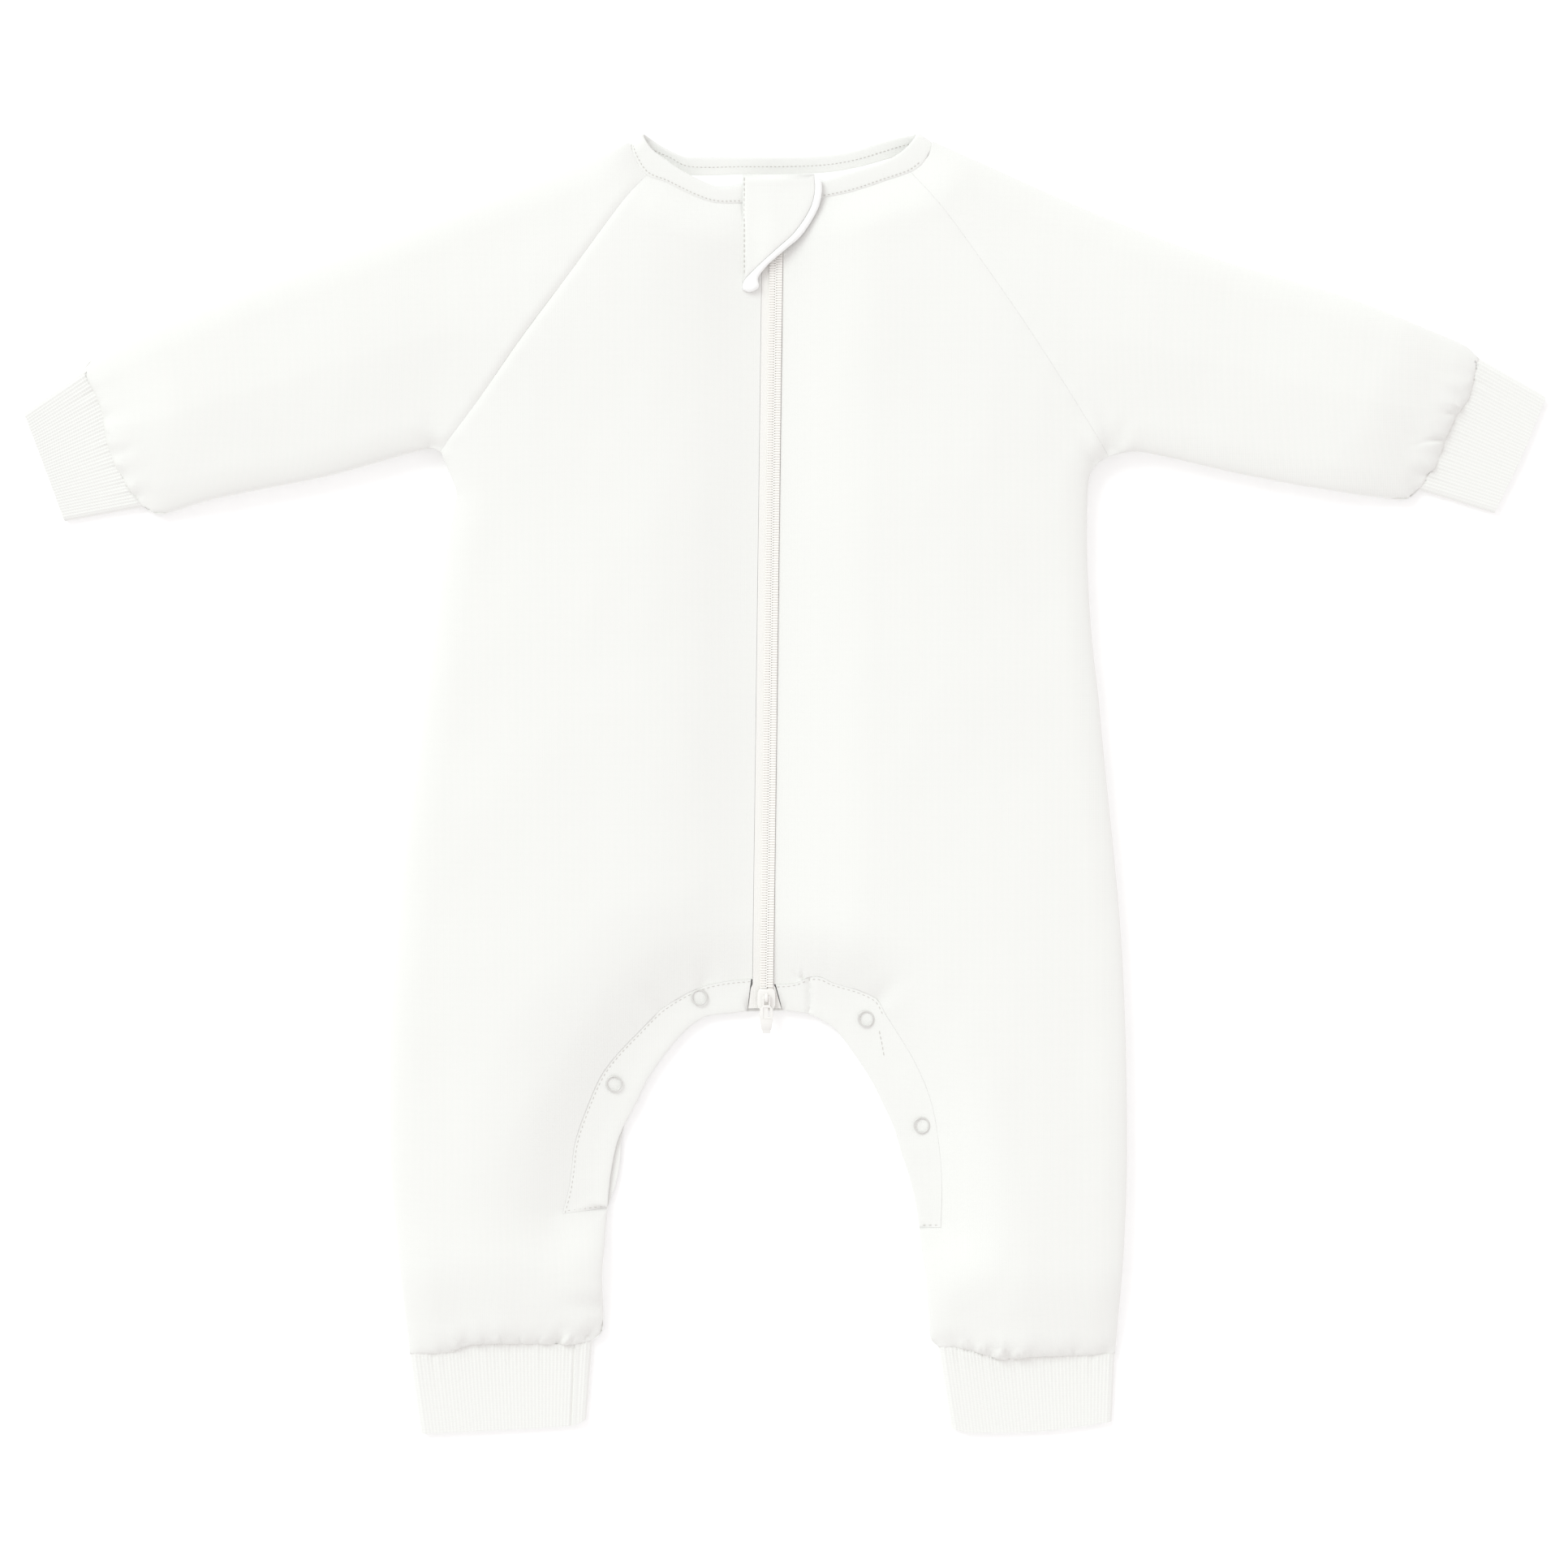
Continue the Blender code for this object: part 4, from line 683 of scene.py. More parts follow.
def front_top(points):
    """The outer face of the front layer, seams, puckers and folds included."""
    full = np.ones(len(points))
    for edges, profile, reach, depth in PRESSED:
        full *= 1 - depth * (1 - profile(distance(points, *edges) / reach))
    middle = smooth(distance(points, *SILHOUETTE) / LOFT_MIDDLE_REACH)
    loft = LOFT_SIDE + (LOFT_MIDDLE - LOFT_SIDE) * middle
    rise = (loft - EDGE_WALL) * full
    uneven = (swells(points) + puckers(points)) * np.clip(full * UNEVEN_RISE, 0, 1)
    rise = np.maximum(rise - fold_depth(points, BROAD_FOLDS) + uneven, LEAST_RISE * rise)
    rise -= np.minimum(NARROW_SHARE * fold_depth(points, NARROW_FOLDS), rise + THIN_AT_FOLD)
    return seam_level(points) + SEAM_GAP / 2 + EDGE_WALL + rise


def front_inside(points):
    """The inner face of the front layer, which follows the seam level."""
    return seam_level(points) + SEAM_GAP / 2


RIM = SILHOUETTE + CROTCH + CUFF_SEAMS  # all round the garment, cuffs left out


def back_inside(points):
    """The inner face of the back layer, which shows in the neck opening."""
    ease = LAYER_EASE * smooth(distance(points, *RIM) / EASE_REACH)
    level = seam_level(points) - SEAM_GAP / 2 - ease
    sunk = 1 - rounded(distance(points, BACK_NECK) / BACK_NECK_ROUND)
    return level - (level - BACK_NECK_TOP) * sunk


UNDER_ROUND = 12.0
BACK_RAGLAN_DEPTH, BACK_RAGLAN_ROUND = 1.1, 5.0
BACK_FOLD_SHARE = 0.5
LEAST_ROOM = 0.3


def underside(points):
    """The outer face of the back layer: flat where it rests, lifted at seams and in its folds."""
    lift = 1 - rounded(distance(points, *RIM) / UNDER_ROUND)
    neck = 1 - rounded(distance(points, BACK_NECK) / BACK_NECK_ROUND)
    seam = (seam_level(points) - SEAM_GAP / 2 - EDGE_WALL) * lift
    raglan = BACK_RAGLAN_DEPTH * (1 - rounded(distance(points, *RAGLANS) / BACK_RAGLAN_ROUND))
    folds = BACK_FOLD_SHARE * (np.clip(fold_depth(points), 0, None)
                               + np.clip(-puckers(points), 0, None))
    room = np.clip(seam_level(points) - SEAM_GAP / 2 - EDGE_WALL, LEAST_ROOM, None)
    return np.minimum(np.maximum(seam, BACK_NECK_UNDER * neck) + raglan + folds * (1 - lift), room)


# %% [markdown]
# ## Meshing a wall of cloth
#
# A panel is drawn as a closed outline, filled with rings of points along its edge and an even
# lattice of points inside, and joined up into triangles. The rings are close together, because the
# cloth turns over fastest at its seams. The same is done for the face below, and a narrow strip
# closes the edge. The lattice is fine enough for the puckers.

# %% Points inside an outline
RINGS = (0.35, 0.95, 1.9, 3.2, 4.9, 7.0)
COARSE_RINGS = (4.0, 12.0)
RING_TRUE = 0.92  # a point counts if at least this share of its ring's distance is left
RING_GAP, RING_GAP_GROWS = 0.7, 0.3  # the least gap on a ring, and how it grows inwards
LATTICE_MARGIN = 0.6  # how many spacings the lattice stays off the innermost ring


def ring_points(loop, distances):
    """Points on rings inside a loop, thinned out where a ring is crowded."""
    closed = loop + loop[:1]
    found = []
    for away in distances:
        ring = np.array(inset(loop, away))
        keep = (distance(ring, closed) > RING_TRUE * away) & inside(ring, loop)
        last = None
        for point in ring[keep]:
            if last is None or math.dist(point, last) > RING_GAP_GROWS * away + RING_GAP:
                found.append(tuple(point))
                last = point
    return found


def lattice_points(loop, spacing, margin):
    """An even lattice of points inside a loop, clear of its edge by `margin`."""
    low, high = np.min(loop, axis=0), np.max(loop, axis=0)
    rise = spacing * math.sqrt(0.75)
    rows = range(int((high[1] - low[1]) / rise) + 2)
    grid = np.array([(low[0] + (i + 0.5 * (j % 2)) * spacing, low[1] + j * rise) for j in rows
                     for i in range(int((high[0] - low[0]) / spacing) + 2)])
    grid = grid[inside(grid, loop)]
    return [tuple(p) for p in grid[distance(grid, loop + loop[:1]) > margin]]


CREASE_FROM, CREASE_STEP, CREASE_MARGIN = 0.7, 1.1, 0.5


def crease_points(loop):
    """More points across each narrow fold, which the lattice alone would step over."""
    found = []
    for x, y, heading, length, half_width, _ in NARROW_FOLDS:
        along = Vector(towards(heading))
        aside = Vector((-along.y, along.x)) * half_width
        found += [tuple(Vector((x, y)) + along * (CREASE_FROM + i * CREASE_STEP) + aside * share)
                  for i in range(int(length / CREASE_STEP) + 1) for share in (-2, -1, 0, 1, 2)]
    found = np.array(found)
    return [tuple(p) for p in found[inside(found, loop)
                                    & (distance(found, loop + loop[:1]) > CREASE_MARGIN)]]


def filled(bm, loop, more, height):
    """Triangles over a loop, on the surface `height`. Returns the loop's vertices in order."""
    count = len(loop)
    flat = [Vector(p) for p in list(loop) + list(more)]
    edges = [(i, (i + 1) % count) for i in range(count)]
    points, _, faces, sources, _, _ = delaunay_2d_cdt(flat, edges, [], 1, 1e-5)
    heights = height([(p.x, p.y) for p in points])
    made = [bm.verts.new((p.x, p.y, z)) for p, z in zip(points, heights)]
    for face in faces:
        bm.faces.new([made[i] for i in face])
    place = {source: i for i, found in enumerate(sources) for source in found}
    return [made[place[i]] for i in range(count)]


# %% From a bmesh in millimetres to a finished object
def circle(count):
    """The cosine and sine of each of `count` even steps round a circle."""
    return [(math.cos(math.tau * i / count), math.sin(math.tau * i / count)) for i in range(count)]


def tube(bm, rings):
    """Faces round a tube from ring to ring, and one at each end."""
    for ring, after in zip(rings, rings[1:]):
        for i in range(len(ring)):
            j = (i + 1) % len(ring)
            bm.faces.new((ring[i], ring[j], after[j], after[i]))
    bm.faces.new(rings[0])
    bm.faces.new(rings[-1])


def finished(name, bm, *finishes, sharp=60):
    """An object in metres with outward faces, smooth up to `sharp` degrees, in its finishes."""
    bmesh.ops.scale(bm, vec=(MM, MM, MM), verts=bm.verts)
    bmesh.ops.recalc_face_normals(bm, faces=bm.faces)
    mesh = bpy.data.meshes.new(name)
    bm.to_mesh(mesh)
    bm.free()
    mesh.shade_smooth()
    mesh.set_sharp_from_angle(angle=math.radians(sharp))
    for material in finishes:
        mesh.materials.append(material)
    obj = bpy.data.objects.new(name, mesh)
    bpy.context.scene.collection.objects.link(obj)
    return obj


def wall(name, loop, top, under, *finishes, top_lattice=2.4, under_lattice=14.0, top_rings=RINGS,
         under_rings=COARSE_RINGS, gap=0.02, top_finish=0, under_finish=0, creases=False):
    """A wall of cloth between two height functions over an outline."""
    loop = inset(loop, gap)
    bm = bmesh.new()
    more = [ring_points(loop, rings)
            + lattice_points(loop, spacing, max(rings) + LATTICE_MARGIN * spacing)
            for rings, spacing in ((top_rings, top_lattice), (under_rings, under_lattice))]
    more[0] += crease_points(loop) if creases else []
    upper = filled(bm, loop, more[0], top)
    upper_faces = len(bm.faces)
    lower = filled(bm, loop, more[1], under)
    bm.faces.ensure_lookup_table()
    for i, face in enumerate(bm.faces):
        face.material_index = top_finish if i < upper_faces else under_finish
    for i in range(len(loop)):
        j = (i + 1) % len(loop)
        bm.faces.new((upper[i], upper[j], lower[j], lower[i]))
    return finished(name, bm, *finishes)


# %% What each piece stands for, and its cut
def length_of(line):
    """The length of a polyline, in millimetres."""
    return sum(math.dist(a, b) for a, b in zip(line, line[1:]))


def flat_area(loop):
    """The area inside a loop, in square millimetres."""
    return 0.5 * abs(sum(a[0] * b[1] - b[0] * a[1] for a, b in zip(loop, loop[1:] + loop[:1])))


def stands_for(piece, *nodes, slot, body="garment"):
    """Puts a piece on its body, in place of its CAD nodes. The `slot` argument is not used."""
    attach(piece, body)
    if nodes:
        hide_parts(*nodes)
    return piece


# %% [markdown]
# ## Back
#
# The back is one wadded panel with both legs. It rests on the floor, so its underside is flat with
# lifted edges, and its inner face is the white lining, which shows in the neck opening.

# %% Back
FINE_STEP = 1.7
FACED_HEM = 9.0  # the legs' free edges are faced with the shell's cloth


def fine(table, side):
    """One side's curve through a seam table, as fine as a wall's outline needs."""
    return through(table[side], FINE_STEP)


def back_loop():
    """The back with both legs, from the neck down the left raglan seam and round."""
    left = [fine(table, "left") for table in (RAGLAN_SEAM, SIDE_SEAM, ANKLE_SEAM, INSEAM)]
    right = [fine(table, "right")[::-1]
             for table in (CROTCH_EDGE, INSEAM, ANKLE_SEAM, SIDE_SEAM, RAGLAN_SEAM)]
    neck_left, neck_right = (
        through(FRONT_NECK_SEAM[side][NECK_PIECES_MEET[side]:-1], FINE_STEP) for side in SIDES)
    return joined(*left, through(BACK_CROTCH_EDGE_LEFT, FINE_STEP), *right, neck_right,
                  through(BACK_NECK_SEAM, FINE_STEP)[::-1], neck_left[::-1])


loop = back_loop()
back = wall("suit_back", loop, back_inside, underside, shell_cotton, lining_cotton,
            top_lattice=7.0, under_lattice=3.6, top_rings=(1.0, 3.0, 6.5), under_rings=RINGS,
            top_finish=1)
middles = [face.center[:2] for face in back.data.polygons]
at_hem = distance(np.array(middles) / MM, *CROTCH, BACK_CROTCH_EDGE_LEFT) < FACED_HEM
for face, faced in zip(back.data.polygons, at_hem):
    face.material_index = 0 if faced else face.material_index
stands_for(back, "back", slot="shell")
print("back:", len(back.data.polygons), "faces,", round(flat_area(loop) / 100), "cm2")

# %% [markdown]
# ## Fronts
#
# Each front runs from the neckband to the ankle. It ends in a folded edge beside the zip and in the
# curved seam of its snap band. Its outer face carries nearly all that the camera sees.

# %% Fronts
def front_loop(side):
    """The front with its leg: neck, raglan seam, side seam, ankle, inseam, snap band, zip."""
    neck = through(FRONT_NECK_SEAM[side][:NECK_PIECES_MEET[side] + 1], FINE_STEP)
    seams = [fine(table, side) for table in (RAGLAN_SEAM, SIDE_SEAM, ANKLE_SEAM, INSEAM, BAND_SEAM)]
    return joined(neck, *seams, zip_edge(ZIP_OFFSET[side], BAND_SEAM[side][-1][1],
                                         FRONT_NECK_SEAM[side][0][1], FINE_STEP))


for side in SIDES:
    loop = front_loop(side)
    front = wall(f"suit_front_{side}", loop, front_top, front_inside, shell_cotton, lining_cotton,
                 under_finish=1, creases=True)
    stands_for(front, f"front_{side}", slot="shell")
    print(front.name, len(front.data.polygons), "faces,", round(flat_area(loop) / 100), "cm2")

# %% [markdown]
# ## Sleeves
#
# A raglan sleeve is one piece folded along the shoulder and sewn under the arm, so here it is a
# flat tube. The wall is made solid first and a thin space is then cut through it with a Boolean,
# which leaves both ends open as on the real sleeve.

# %% Sleeves
SLOT, SLOT_INNER = 0.6, 6.0  # how high the space inside is, and how far in from both folds
SLOT_ENDS = {  # corners of the space: past the sleeve at both open ends
    "left": {"neck": (-50, 315), "armpit": (-140, 172), "wrist_top": (-360, 196),
             "wrist_foot": (-332, 128)},
    "right": {"neck": (45, 315), "armpit": (130, 170), "wrist_top": (356, 202),
              "wrist_foot": (326, 137)},
}


def sleeve_slot(side):
    """The flat space inside a sleeve, which runs out past its open ends."""
    fold = [(x, y - SLOT_INNER) for x, y in through(SHOULDER_FOLD[side], 12)]
    seam = [(x, y + SLOT_INNER) for x, y in through(UNDERARM_SEAM[side][1:], 12)]
    ends = SLOT_ENDS[side]
    loop = joined([ends["neck"]], fold[1:-4], [ends["wrist_top"], ends["wrist_foot"]],
                  seam[-4::-1], [ends["armpit"]])
    return wall("sleeve_slot", loop, lambda p: seam_level(p) + SLOT / 2,
                lambda p: seam_level(p) - SLOT / 2, lining_cotton, top_lattice=14,
                top_rings=(0.1,), under_rings=(0.1,), gap=0)


def apply_modifier(obj, kind, **settings):
    """Adds a modifier with these settings and applies it."""
    modifier = obj.modifiers.new(kind.lower(), kind)
    for key_name, value in settings.items():
        setattr(modifier, key_name, value)
    bpy.context.view_layer.objects.active = obj
    bpy.ops.object.modifier_apply(modifier=modifier.name)


def combine(obj, other, operation):
    """Takes `other` away from a piece, or joins it on. Only the piece is left."""
    apply_modifier(obj, "BOOLEAN", operation=operation, object=other)
    bpy.data.objects.remove(other)


for side in SIDES:
    neck = through(FRONT_NECK_SEAM[side][NECK_PIECES_MEET[side]:], FINE_STEP)
    loop = joined(fine(SHOULDER_FOLD, side), fine(WRIST_SEAM, side),
                  fine(UNDERARM_SEAM, side)[::-1], fine(RAGLAN_SEAM, side)[::-1], neck)
    sleeve = wall(f"suit_sleeve_{side}", loop, front_top, underside, shell_cotton,
                  under_lattice=3.6, under_rings=RINGS, creases=True)
    combine(sleeve, sleeve_slot(side), "DIFFERENCE")
    stands_for(sleeve, f"sleeve_{side}", slot="shell")
    print(sleeve.name, len(sleeve.data.polygons), "faces,", round(2 * flat_area(loop) / 100), "cm2")

# %% [markdown]
# ## Rib cuffs
#
# A cuff is a tube of 1x1 rib knit, pulled in where it is sewn on and a little loose at its end.
# Each rib is real relief, so it catches the light along its length, and the loops of the knit are
# left to the finish, which reads them from the cuff's own UV map in millimetres and paints shade
# into the hollows between the ribs and the loops.

# %% Rib cuffs
CUFF_WALL, CUFF_ROWS = 2.0, 16
RIB_HEIGHT, RIB_POINTS = 0.32, 4
RIB_GATHERED = 0.7  # how much deeper the ribs are where the cuff is pulled in
CUFF_SWELL, CUFF_SIDE_ROUND = 1.25, 3.0
CUFF_UNDER_SEAM = 0.008  # the share of its depth by which a cuff goes in under the seam
CUFF_UNEVEN, CUFF_UNEVEN_SIZE = 0.7, 7
HEM_WAVE, HEM_WAVE_SIZE, CUFF_DEPTH = 0.35, 9, 40
UNDER_RELIEF = 0.6  # the share of its relief that a rib keeps on the side it rests on
SLOT_IN = 1.4  # how far in from its folded sides a cuff's inside is
LEAST_HALF = 0.4  # at its folded sides a cuff stays this thick on both sides of its middle
SEAM_LINE = {"ankle_cuff_left": ("top", 0.903)}  # which layer has the cuff's own seam, and where
SEAM_LINE_ELSEWHERE = ("under", 0.08)
SEAM_LINE_DEPTH, SEAM_LINE_HALF = 0.9, 0.5
SEAM_RIDGE_HEIGHT, SEAM_RIDGE_HALF, SEAM_RIDGE_AWAY = 0.45, 0.8, 1.1


def run_along(line):
    """How far along a polyline each of its points is."""
    steps = np.linalg.norm(np.diff(np.asarray(line, float), axis=0), axis=1)
    return np.concatenate(([0], np.cumsum(steps)))


def evenly(points, count):
    """`count` + 1 points at even steps along a polyline."""
    run = run_along(points)
    at = np.linspace(0, run[-1], count + 1)
    return [Vector(p) for p in zip(*(np.interp(at, run, column)
                                     for column in np.asarray(points, float).T))]


def seam_line_rise(away):
    """The groove of the cuff's own seam, with the ridge of its seam allowance beside it."""
    ridge = math.exp(-((away - SEAM_RIDGE_AWAY) / SEAM_RIDGE_HALF) ** 2)
    return SEAM_RIDGE_HEIGHT * ridge - SEAM_LINE_DEPTH * math.exp(-(away / SEAM_LINE_HALF) ** 2)


def cuff_mesh(seam, hem, seed, line_layer, line_share):
    """Rings round the tube from the seam to the hem, outside and inside."""
    width = length_of(seam)
    ribs = round(width / RIB_PITCH)
    across = ribs * RIB_POINTS
    seam_line = evenly(through(seam, 3), across)
    hem_line = evenly(through(hem, 3), across)
    half = CUFF_WALL + SLOT / 2
    bm = bmesh.new()
    uv = bm.loops.layers.uv.new("UVMap")
    rings, places = [], {}
    for row in range(CUFF_ROWS + 1):
        down = row / CUFF_ROWS
        swell = CUFF_SWELL * (1 - down) ** 2
        ring = []
        for layer in ("top", "under", "slot_under", "slot_top"):
            order = range(across + 1) if layer in ("top", "slot_under") else range(across, -1, -1)
            for i in order:
                wave = noise.noise(Vector((i / HEM_WAVE_SIZE, seed, layer == "under")))
                wave *= HEM_WAVE * down ** 3
                share = down - CUFF_UNDER_SEAM * (1 - down) + wave / CUFF_DEPTH
                point = seam_line[i].lerp(hem_line[i], share)
                edge = min(i, across - i) / across * width
                crown = 0.5 - 0.5 * math.cos(math.tau * i / RIB_POINTS)
                turn = float(rounded(edge / CUFF_SIDE_ROUND))
                relief = RIB_HEIGHT * (1 + RIB_GATHERED * (1 - down) ** 5) * (1 - crown)
                tuck = noise.noise(Vector((i / CUFF_UNEVEN_SIZE, 5.0, seed)))
                tuck *= CUFF_UNEVEN * (1 - down) ** 4
                if layer == line_layer:
                    tuck += seam_line_rise((i / across - line_share) * width)
                if layer == "top":
                    z = half + max((half + swell + tuck - relief) * turn, LEAST_HALF)
                elif layer == "under":
                    z = half - max((half - UNDER_RELIEF * relief + min(tuck, 0)) * turn,
                                   LEAST_HALF)
                else:
                    z = CUFF_WALL + (SLOT if layer == "slot_top" else 0)
                    inner = SLOT_IN / width
                    point = point + (seam_line[-1] - seam_line[0]) * inner * (1 - 2 * i / across)
                vert = bm.verts.new((*point, z))
                places[vert] = (i / across * ribs * RIB_PITCH,
                                down * (hem_line[i] - seam_line[i]).length)
                ring.append(vert)
        rings.append(ring)
    size = 2 * (across + 1)
    for ring, after in zip(rings, rings[1:]):
        for start in (0, size):
            for i in range(size):
                j = (i + 1) % size
                bm.faces.new((ring[start + i], ring[start + j], after[start + j], after[start + i]))
    last = 2 * across + 1
    for ring in (rings[0], rings[-1]):
        top = [ring[i] for i in range(across + 1)]
        under = [ring[last - i] for i in range(across + 1)]
        slot_under = [ring[size + i] for i in range(across + 1)]
        slot_top = [ring[size + last - i] for i in range(across + 1)]
        for outer, inner in ((top, slot_top), (under, slot_under)):
            for i in range(across):
                bm.faces.new((outer[i], outer[i + 1], inner[i + 1], inner[i]))
        for end in (0, -1):
            bm.faces.new((top[end], under[end], slot_under[end], slot_top[end]))
    for face in bm.faces:
        for corner in face.loops:
            corner[uv].uv = places[corner.vert]
    return bm, width


for side in SIDES:
    for where, seam, hem in (("wrist", WRIST_SEAM, WRIST_HEM), ("ankle", ANKLE_SEAM, ANKLE_HEM)):
        name = f"{where}_cuff_{side}"
        bm, width = cuff_mesh(seam[side], hem[side], 2.0 + len(name) + (side == "left"),
                              *SEAM_LINE.get(name, SEAM_LINE_ELSEWHERE))
        cuff = finished(f"{name}_knit", bm, rib_knit, sharp=80)
        stands_for(cuff, name, slot="rib")
        print(cuff.name, len(cuff.data.polygons), "faces, width", round(width), "mm")

# %% [markdown]
# ## Neckband
#
# The neckband is a narrow folded strip. It runs up the left front, turns over at the left
# shoulder, crosses the back of the neck and comes down the right front. A rounded section is
# carried along the strip, and turns from face up to face down where the band turns over.

# %% Neckband
NECKBAND_WALL, NECKBAND_FRONT_Z, NECKBAND_BACK_Z = 2.4, 10.8, 3.2
NECKBAND_ROWS = (  # seam x, seam y, free edge x, free edge y, layer (1 front, 0 back)
    (-11.8, 286.4, -11.8, 294.9, 1.0), (-21, 286.9, -22.5, 294.9, 1.0),
    (-34, 286.9, -32.5, 293.9, 1.0), (-45, 290.4, -41, 297, 1.0),
    (-58.6, 297, -51.5, 302.5, 1.0), (-67.8, 300.6, -59.5, 308, 1.0),
    (-72.2, 306.4, -65.5, 312.5, 1.0), (-74.8, 312.4, -69, 317.2, 0.93),
    (-75.3, 316.4, -70.8, 320.6, 0.5), (-73.2, 314, -66.5, 318.6, 0.07),
    (-68.6, 311.8, -61, 315, 0.0), (-60.5, 308.6, -51, 310.2, 0.0),
    (-49.2, 301.6, -44, 309.6, 0.0), (-21, 301.5, -21, 309.6, 0.0), (13.5, 302, 13, 310, 0.0),
    (32.8, 304.6, 31.5, 312.2, 0.0), (49.6, 309.2, 46, 316.6, 0.0),
    (60.5, 312.6, 57, 319.6, 0.0), (67.4, 313.2, 62.6, 320.2, 0.07),
    (70.8, 316.8, 64.8, 320.8, 0.5), (70.0, 312, 62.8, 317.4, 0.93),
    (66.4, 306, 57.4, 311.8, 1.0), (61, 302, 51, 307.8, 1.0),
    (48.2, 297.6, 44.6, 305, 1.0), (33, 292.5, 30, 300.5, 1.0), (18, 289.4, 17.6, 296.8, 1.0),
    (0.2, 286.4, 0.2, 294.9, 1.0))
NECKBAND_STEP, SECTION_POINTS = 1.6, 16
NECKBAND_TUCK = 0.12  # the share of its width by which it goes in under the front
NECKBAND_THIN, NECKBAND_SEWN_LIFT = 0.12, 0.94  # thinner towards its sewn edge
NECKBAND_UNEVEN, NECKBAND_UNEVEN_SIZE = 0.10, 6
SECTION_ENDS, SECTION_FACES = 0.6, 0.38  # powers that make the section's circle a flat strip


def neckband_z(layer):
    """The height of the band's middle: 0 for the back layer, 1 for the front."""
    return NECKBAND_BACK_Z + (NECKBAND_FRONT_Z - NECKBAND_BACK_Z) * layer


def neckband_frames():
    """Along the band: its sewn edge, its free edge and the direction that its outer face looks."""
    for seam_x, seam_y, free_x, free_y, layer in through(NECKBAND_ROWS, NECKBAND_STEP):
        z = neckband_z(layer)
        turned = math.pi * (1 - min(max(layer, 0), 1))
        outwards = Vector((math.copysign(math.sin(turned), seam_x), 0, math.cos(turned)))
        yield Vector((seam_x, seam_y, z)), Vector((free_x, free_y, z)), outwards


def flattened(value, power):
    """A power of a value that keeps its sign."""
    return math.copysign(abs(value) ** power, value)


def make_neckband():
    """The strip: rings of points round its section, joined along its length."""
    bm = bmesh.new()
    rings = []
    for number, (seam, free, outwards) in enumerate(neckband_frames()):
        ring = []
        for cosine, sine in circle(SECTION_POINTS):
            across = 0.5 + 0.5 * flattened(cosine, SECTION_ENDS)
            lift = flattened(sine, SECTION_FACES) * (1 if across > 0.5 else NECKBAND_SEWN_LIFT)
            uneven = noise.noise(Vector((number / NECKBAND_UNEVEN_SIZE, across, 1.0)))
            soft = 1 - NECKBAND_THIN * (1 - across) + NECKBAND_UNEVEN * uneven
            ring.append(bm.verts.new(seam.lerp(free, across - NECKBAND_TUCK * (1 - across))
                                     + outwards * lift * soft * NECKBAND_WALL / 2))
        rings.append(ring)
    tube(bm, rings)
    return finished("suit_neckband", bm, shell_cotton)


neckband = stands_for(make_neckband(), "neckband", slot="shell")
frames = list(neckband_frames())

# %% [markdown]
# ## Snap bands
#
# Two narrow faced bands close the crotch. They are flatter and firmer than the wadded legs, with a
# rolled free edge, and carry the ring snaps.

# %% Snap bands
BAND_WALL, BAND_SOFT, BAND_STEP = 2.6, 4.0, 1.8
BAND_CREASE = {"x": 11.8, "width": 1.1, "depth": 1.5}  # the right band is folded here
BAND_UNEVEN, BAND_UNEVEN_SIZE, BAND_EVEN_EDGE = 0.22, 11.0, 3.0


def band_top(points):
    """The band's outer face: a rolled free edge, one crease and a slight unevenness."""
    rise = (BAND_WALL - EDGE_WALL) * rounded(distance(points, *CROTCH) / BAND_SOFT)
    x, y = np.asarray(points, float).T
    aside = np.exp(-((x - BAND_CREASE["x"]) / BAND_CREASE["width"]) ** 2)
    uneven = BAND_UNEVEN * ripple(np.asarray(points, float), BAND_UNEVEN_SIZE, 4.4)
    return (seam_level(points) + SEAM_GAP / 2 + EDGE_WALL + rise - BAND_CREASE["depth"] * aside
            + uneven * rounded(distance(points, *CROTCH, *BANDS) / BAND_EVEN_EDGE))


for side in SIDES:
    loop = joined(through(BAND_SEAM[side], BAND_STEP),
                  through(CROTCH_EDGE[side], BAND_STEP)[::-1])
    band = wall(f"suit_snap_band_{side}", loop, band_top, front_inside, shell_cotton,
                top_lattice=1.9, under_lattice=8.0, under_rings=(2.5,), top_rings=(0.3, 0.9, 1.9))
    stands_for(band, f"snap_band_{side}", slot="shell")

# %% [markdown]
# ## Zip
#
# Two woven tapes lie side by side under the fronts' edges. The chain is a nylon coil on each tape,
# and the turns of one lie between the turns of the other. One turn is modelled as a short bent bar
# with a few dozen faces, and then repeated along the chain, because there are hundreds of them.

# %% Zip tapes
TAPE_LIFT, TAPE_WALL, TAPE_STEP_Y = 1.75, 0.6, -98.5
TAPE_FOLD = {  # the tape's end in the slider: down its outer edge and up its inner edge
    "left": ((-17.3, -100.5), (-18.5, -110.5), (-12.7, -110.5), (-11.4, -105.0), (-10.0, -100.5)),
    "right": ((-5.0, -100.0), (-2.1, -110.5), (-6.3, -110.5), (-7.6, -105.0), (-9.0, -100.5)),
}


TAPE_UNEVEN, TAPE_UNEVEN_SIZE, TAPE_STRETCH = 0.12, 6.0, (1.0, 0.3)


def tape_top(points):
    """The tape's outer face, with slight waves along it."""
    points = np.asarray(points, float)
    return (seam_level(points) + TAPE_LIFT + TAPE_WALL
            + TAPE_UNEVEN * ripple(points * TAPE_STRETCH, TAPE_UNEVEN_SIZE, 8.1))


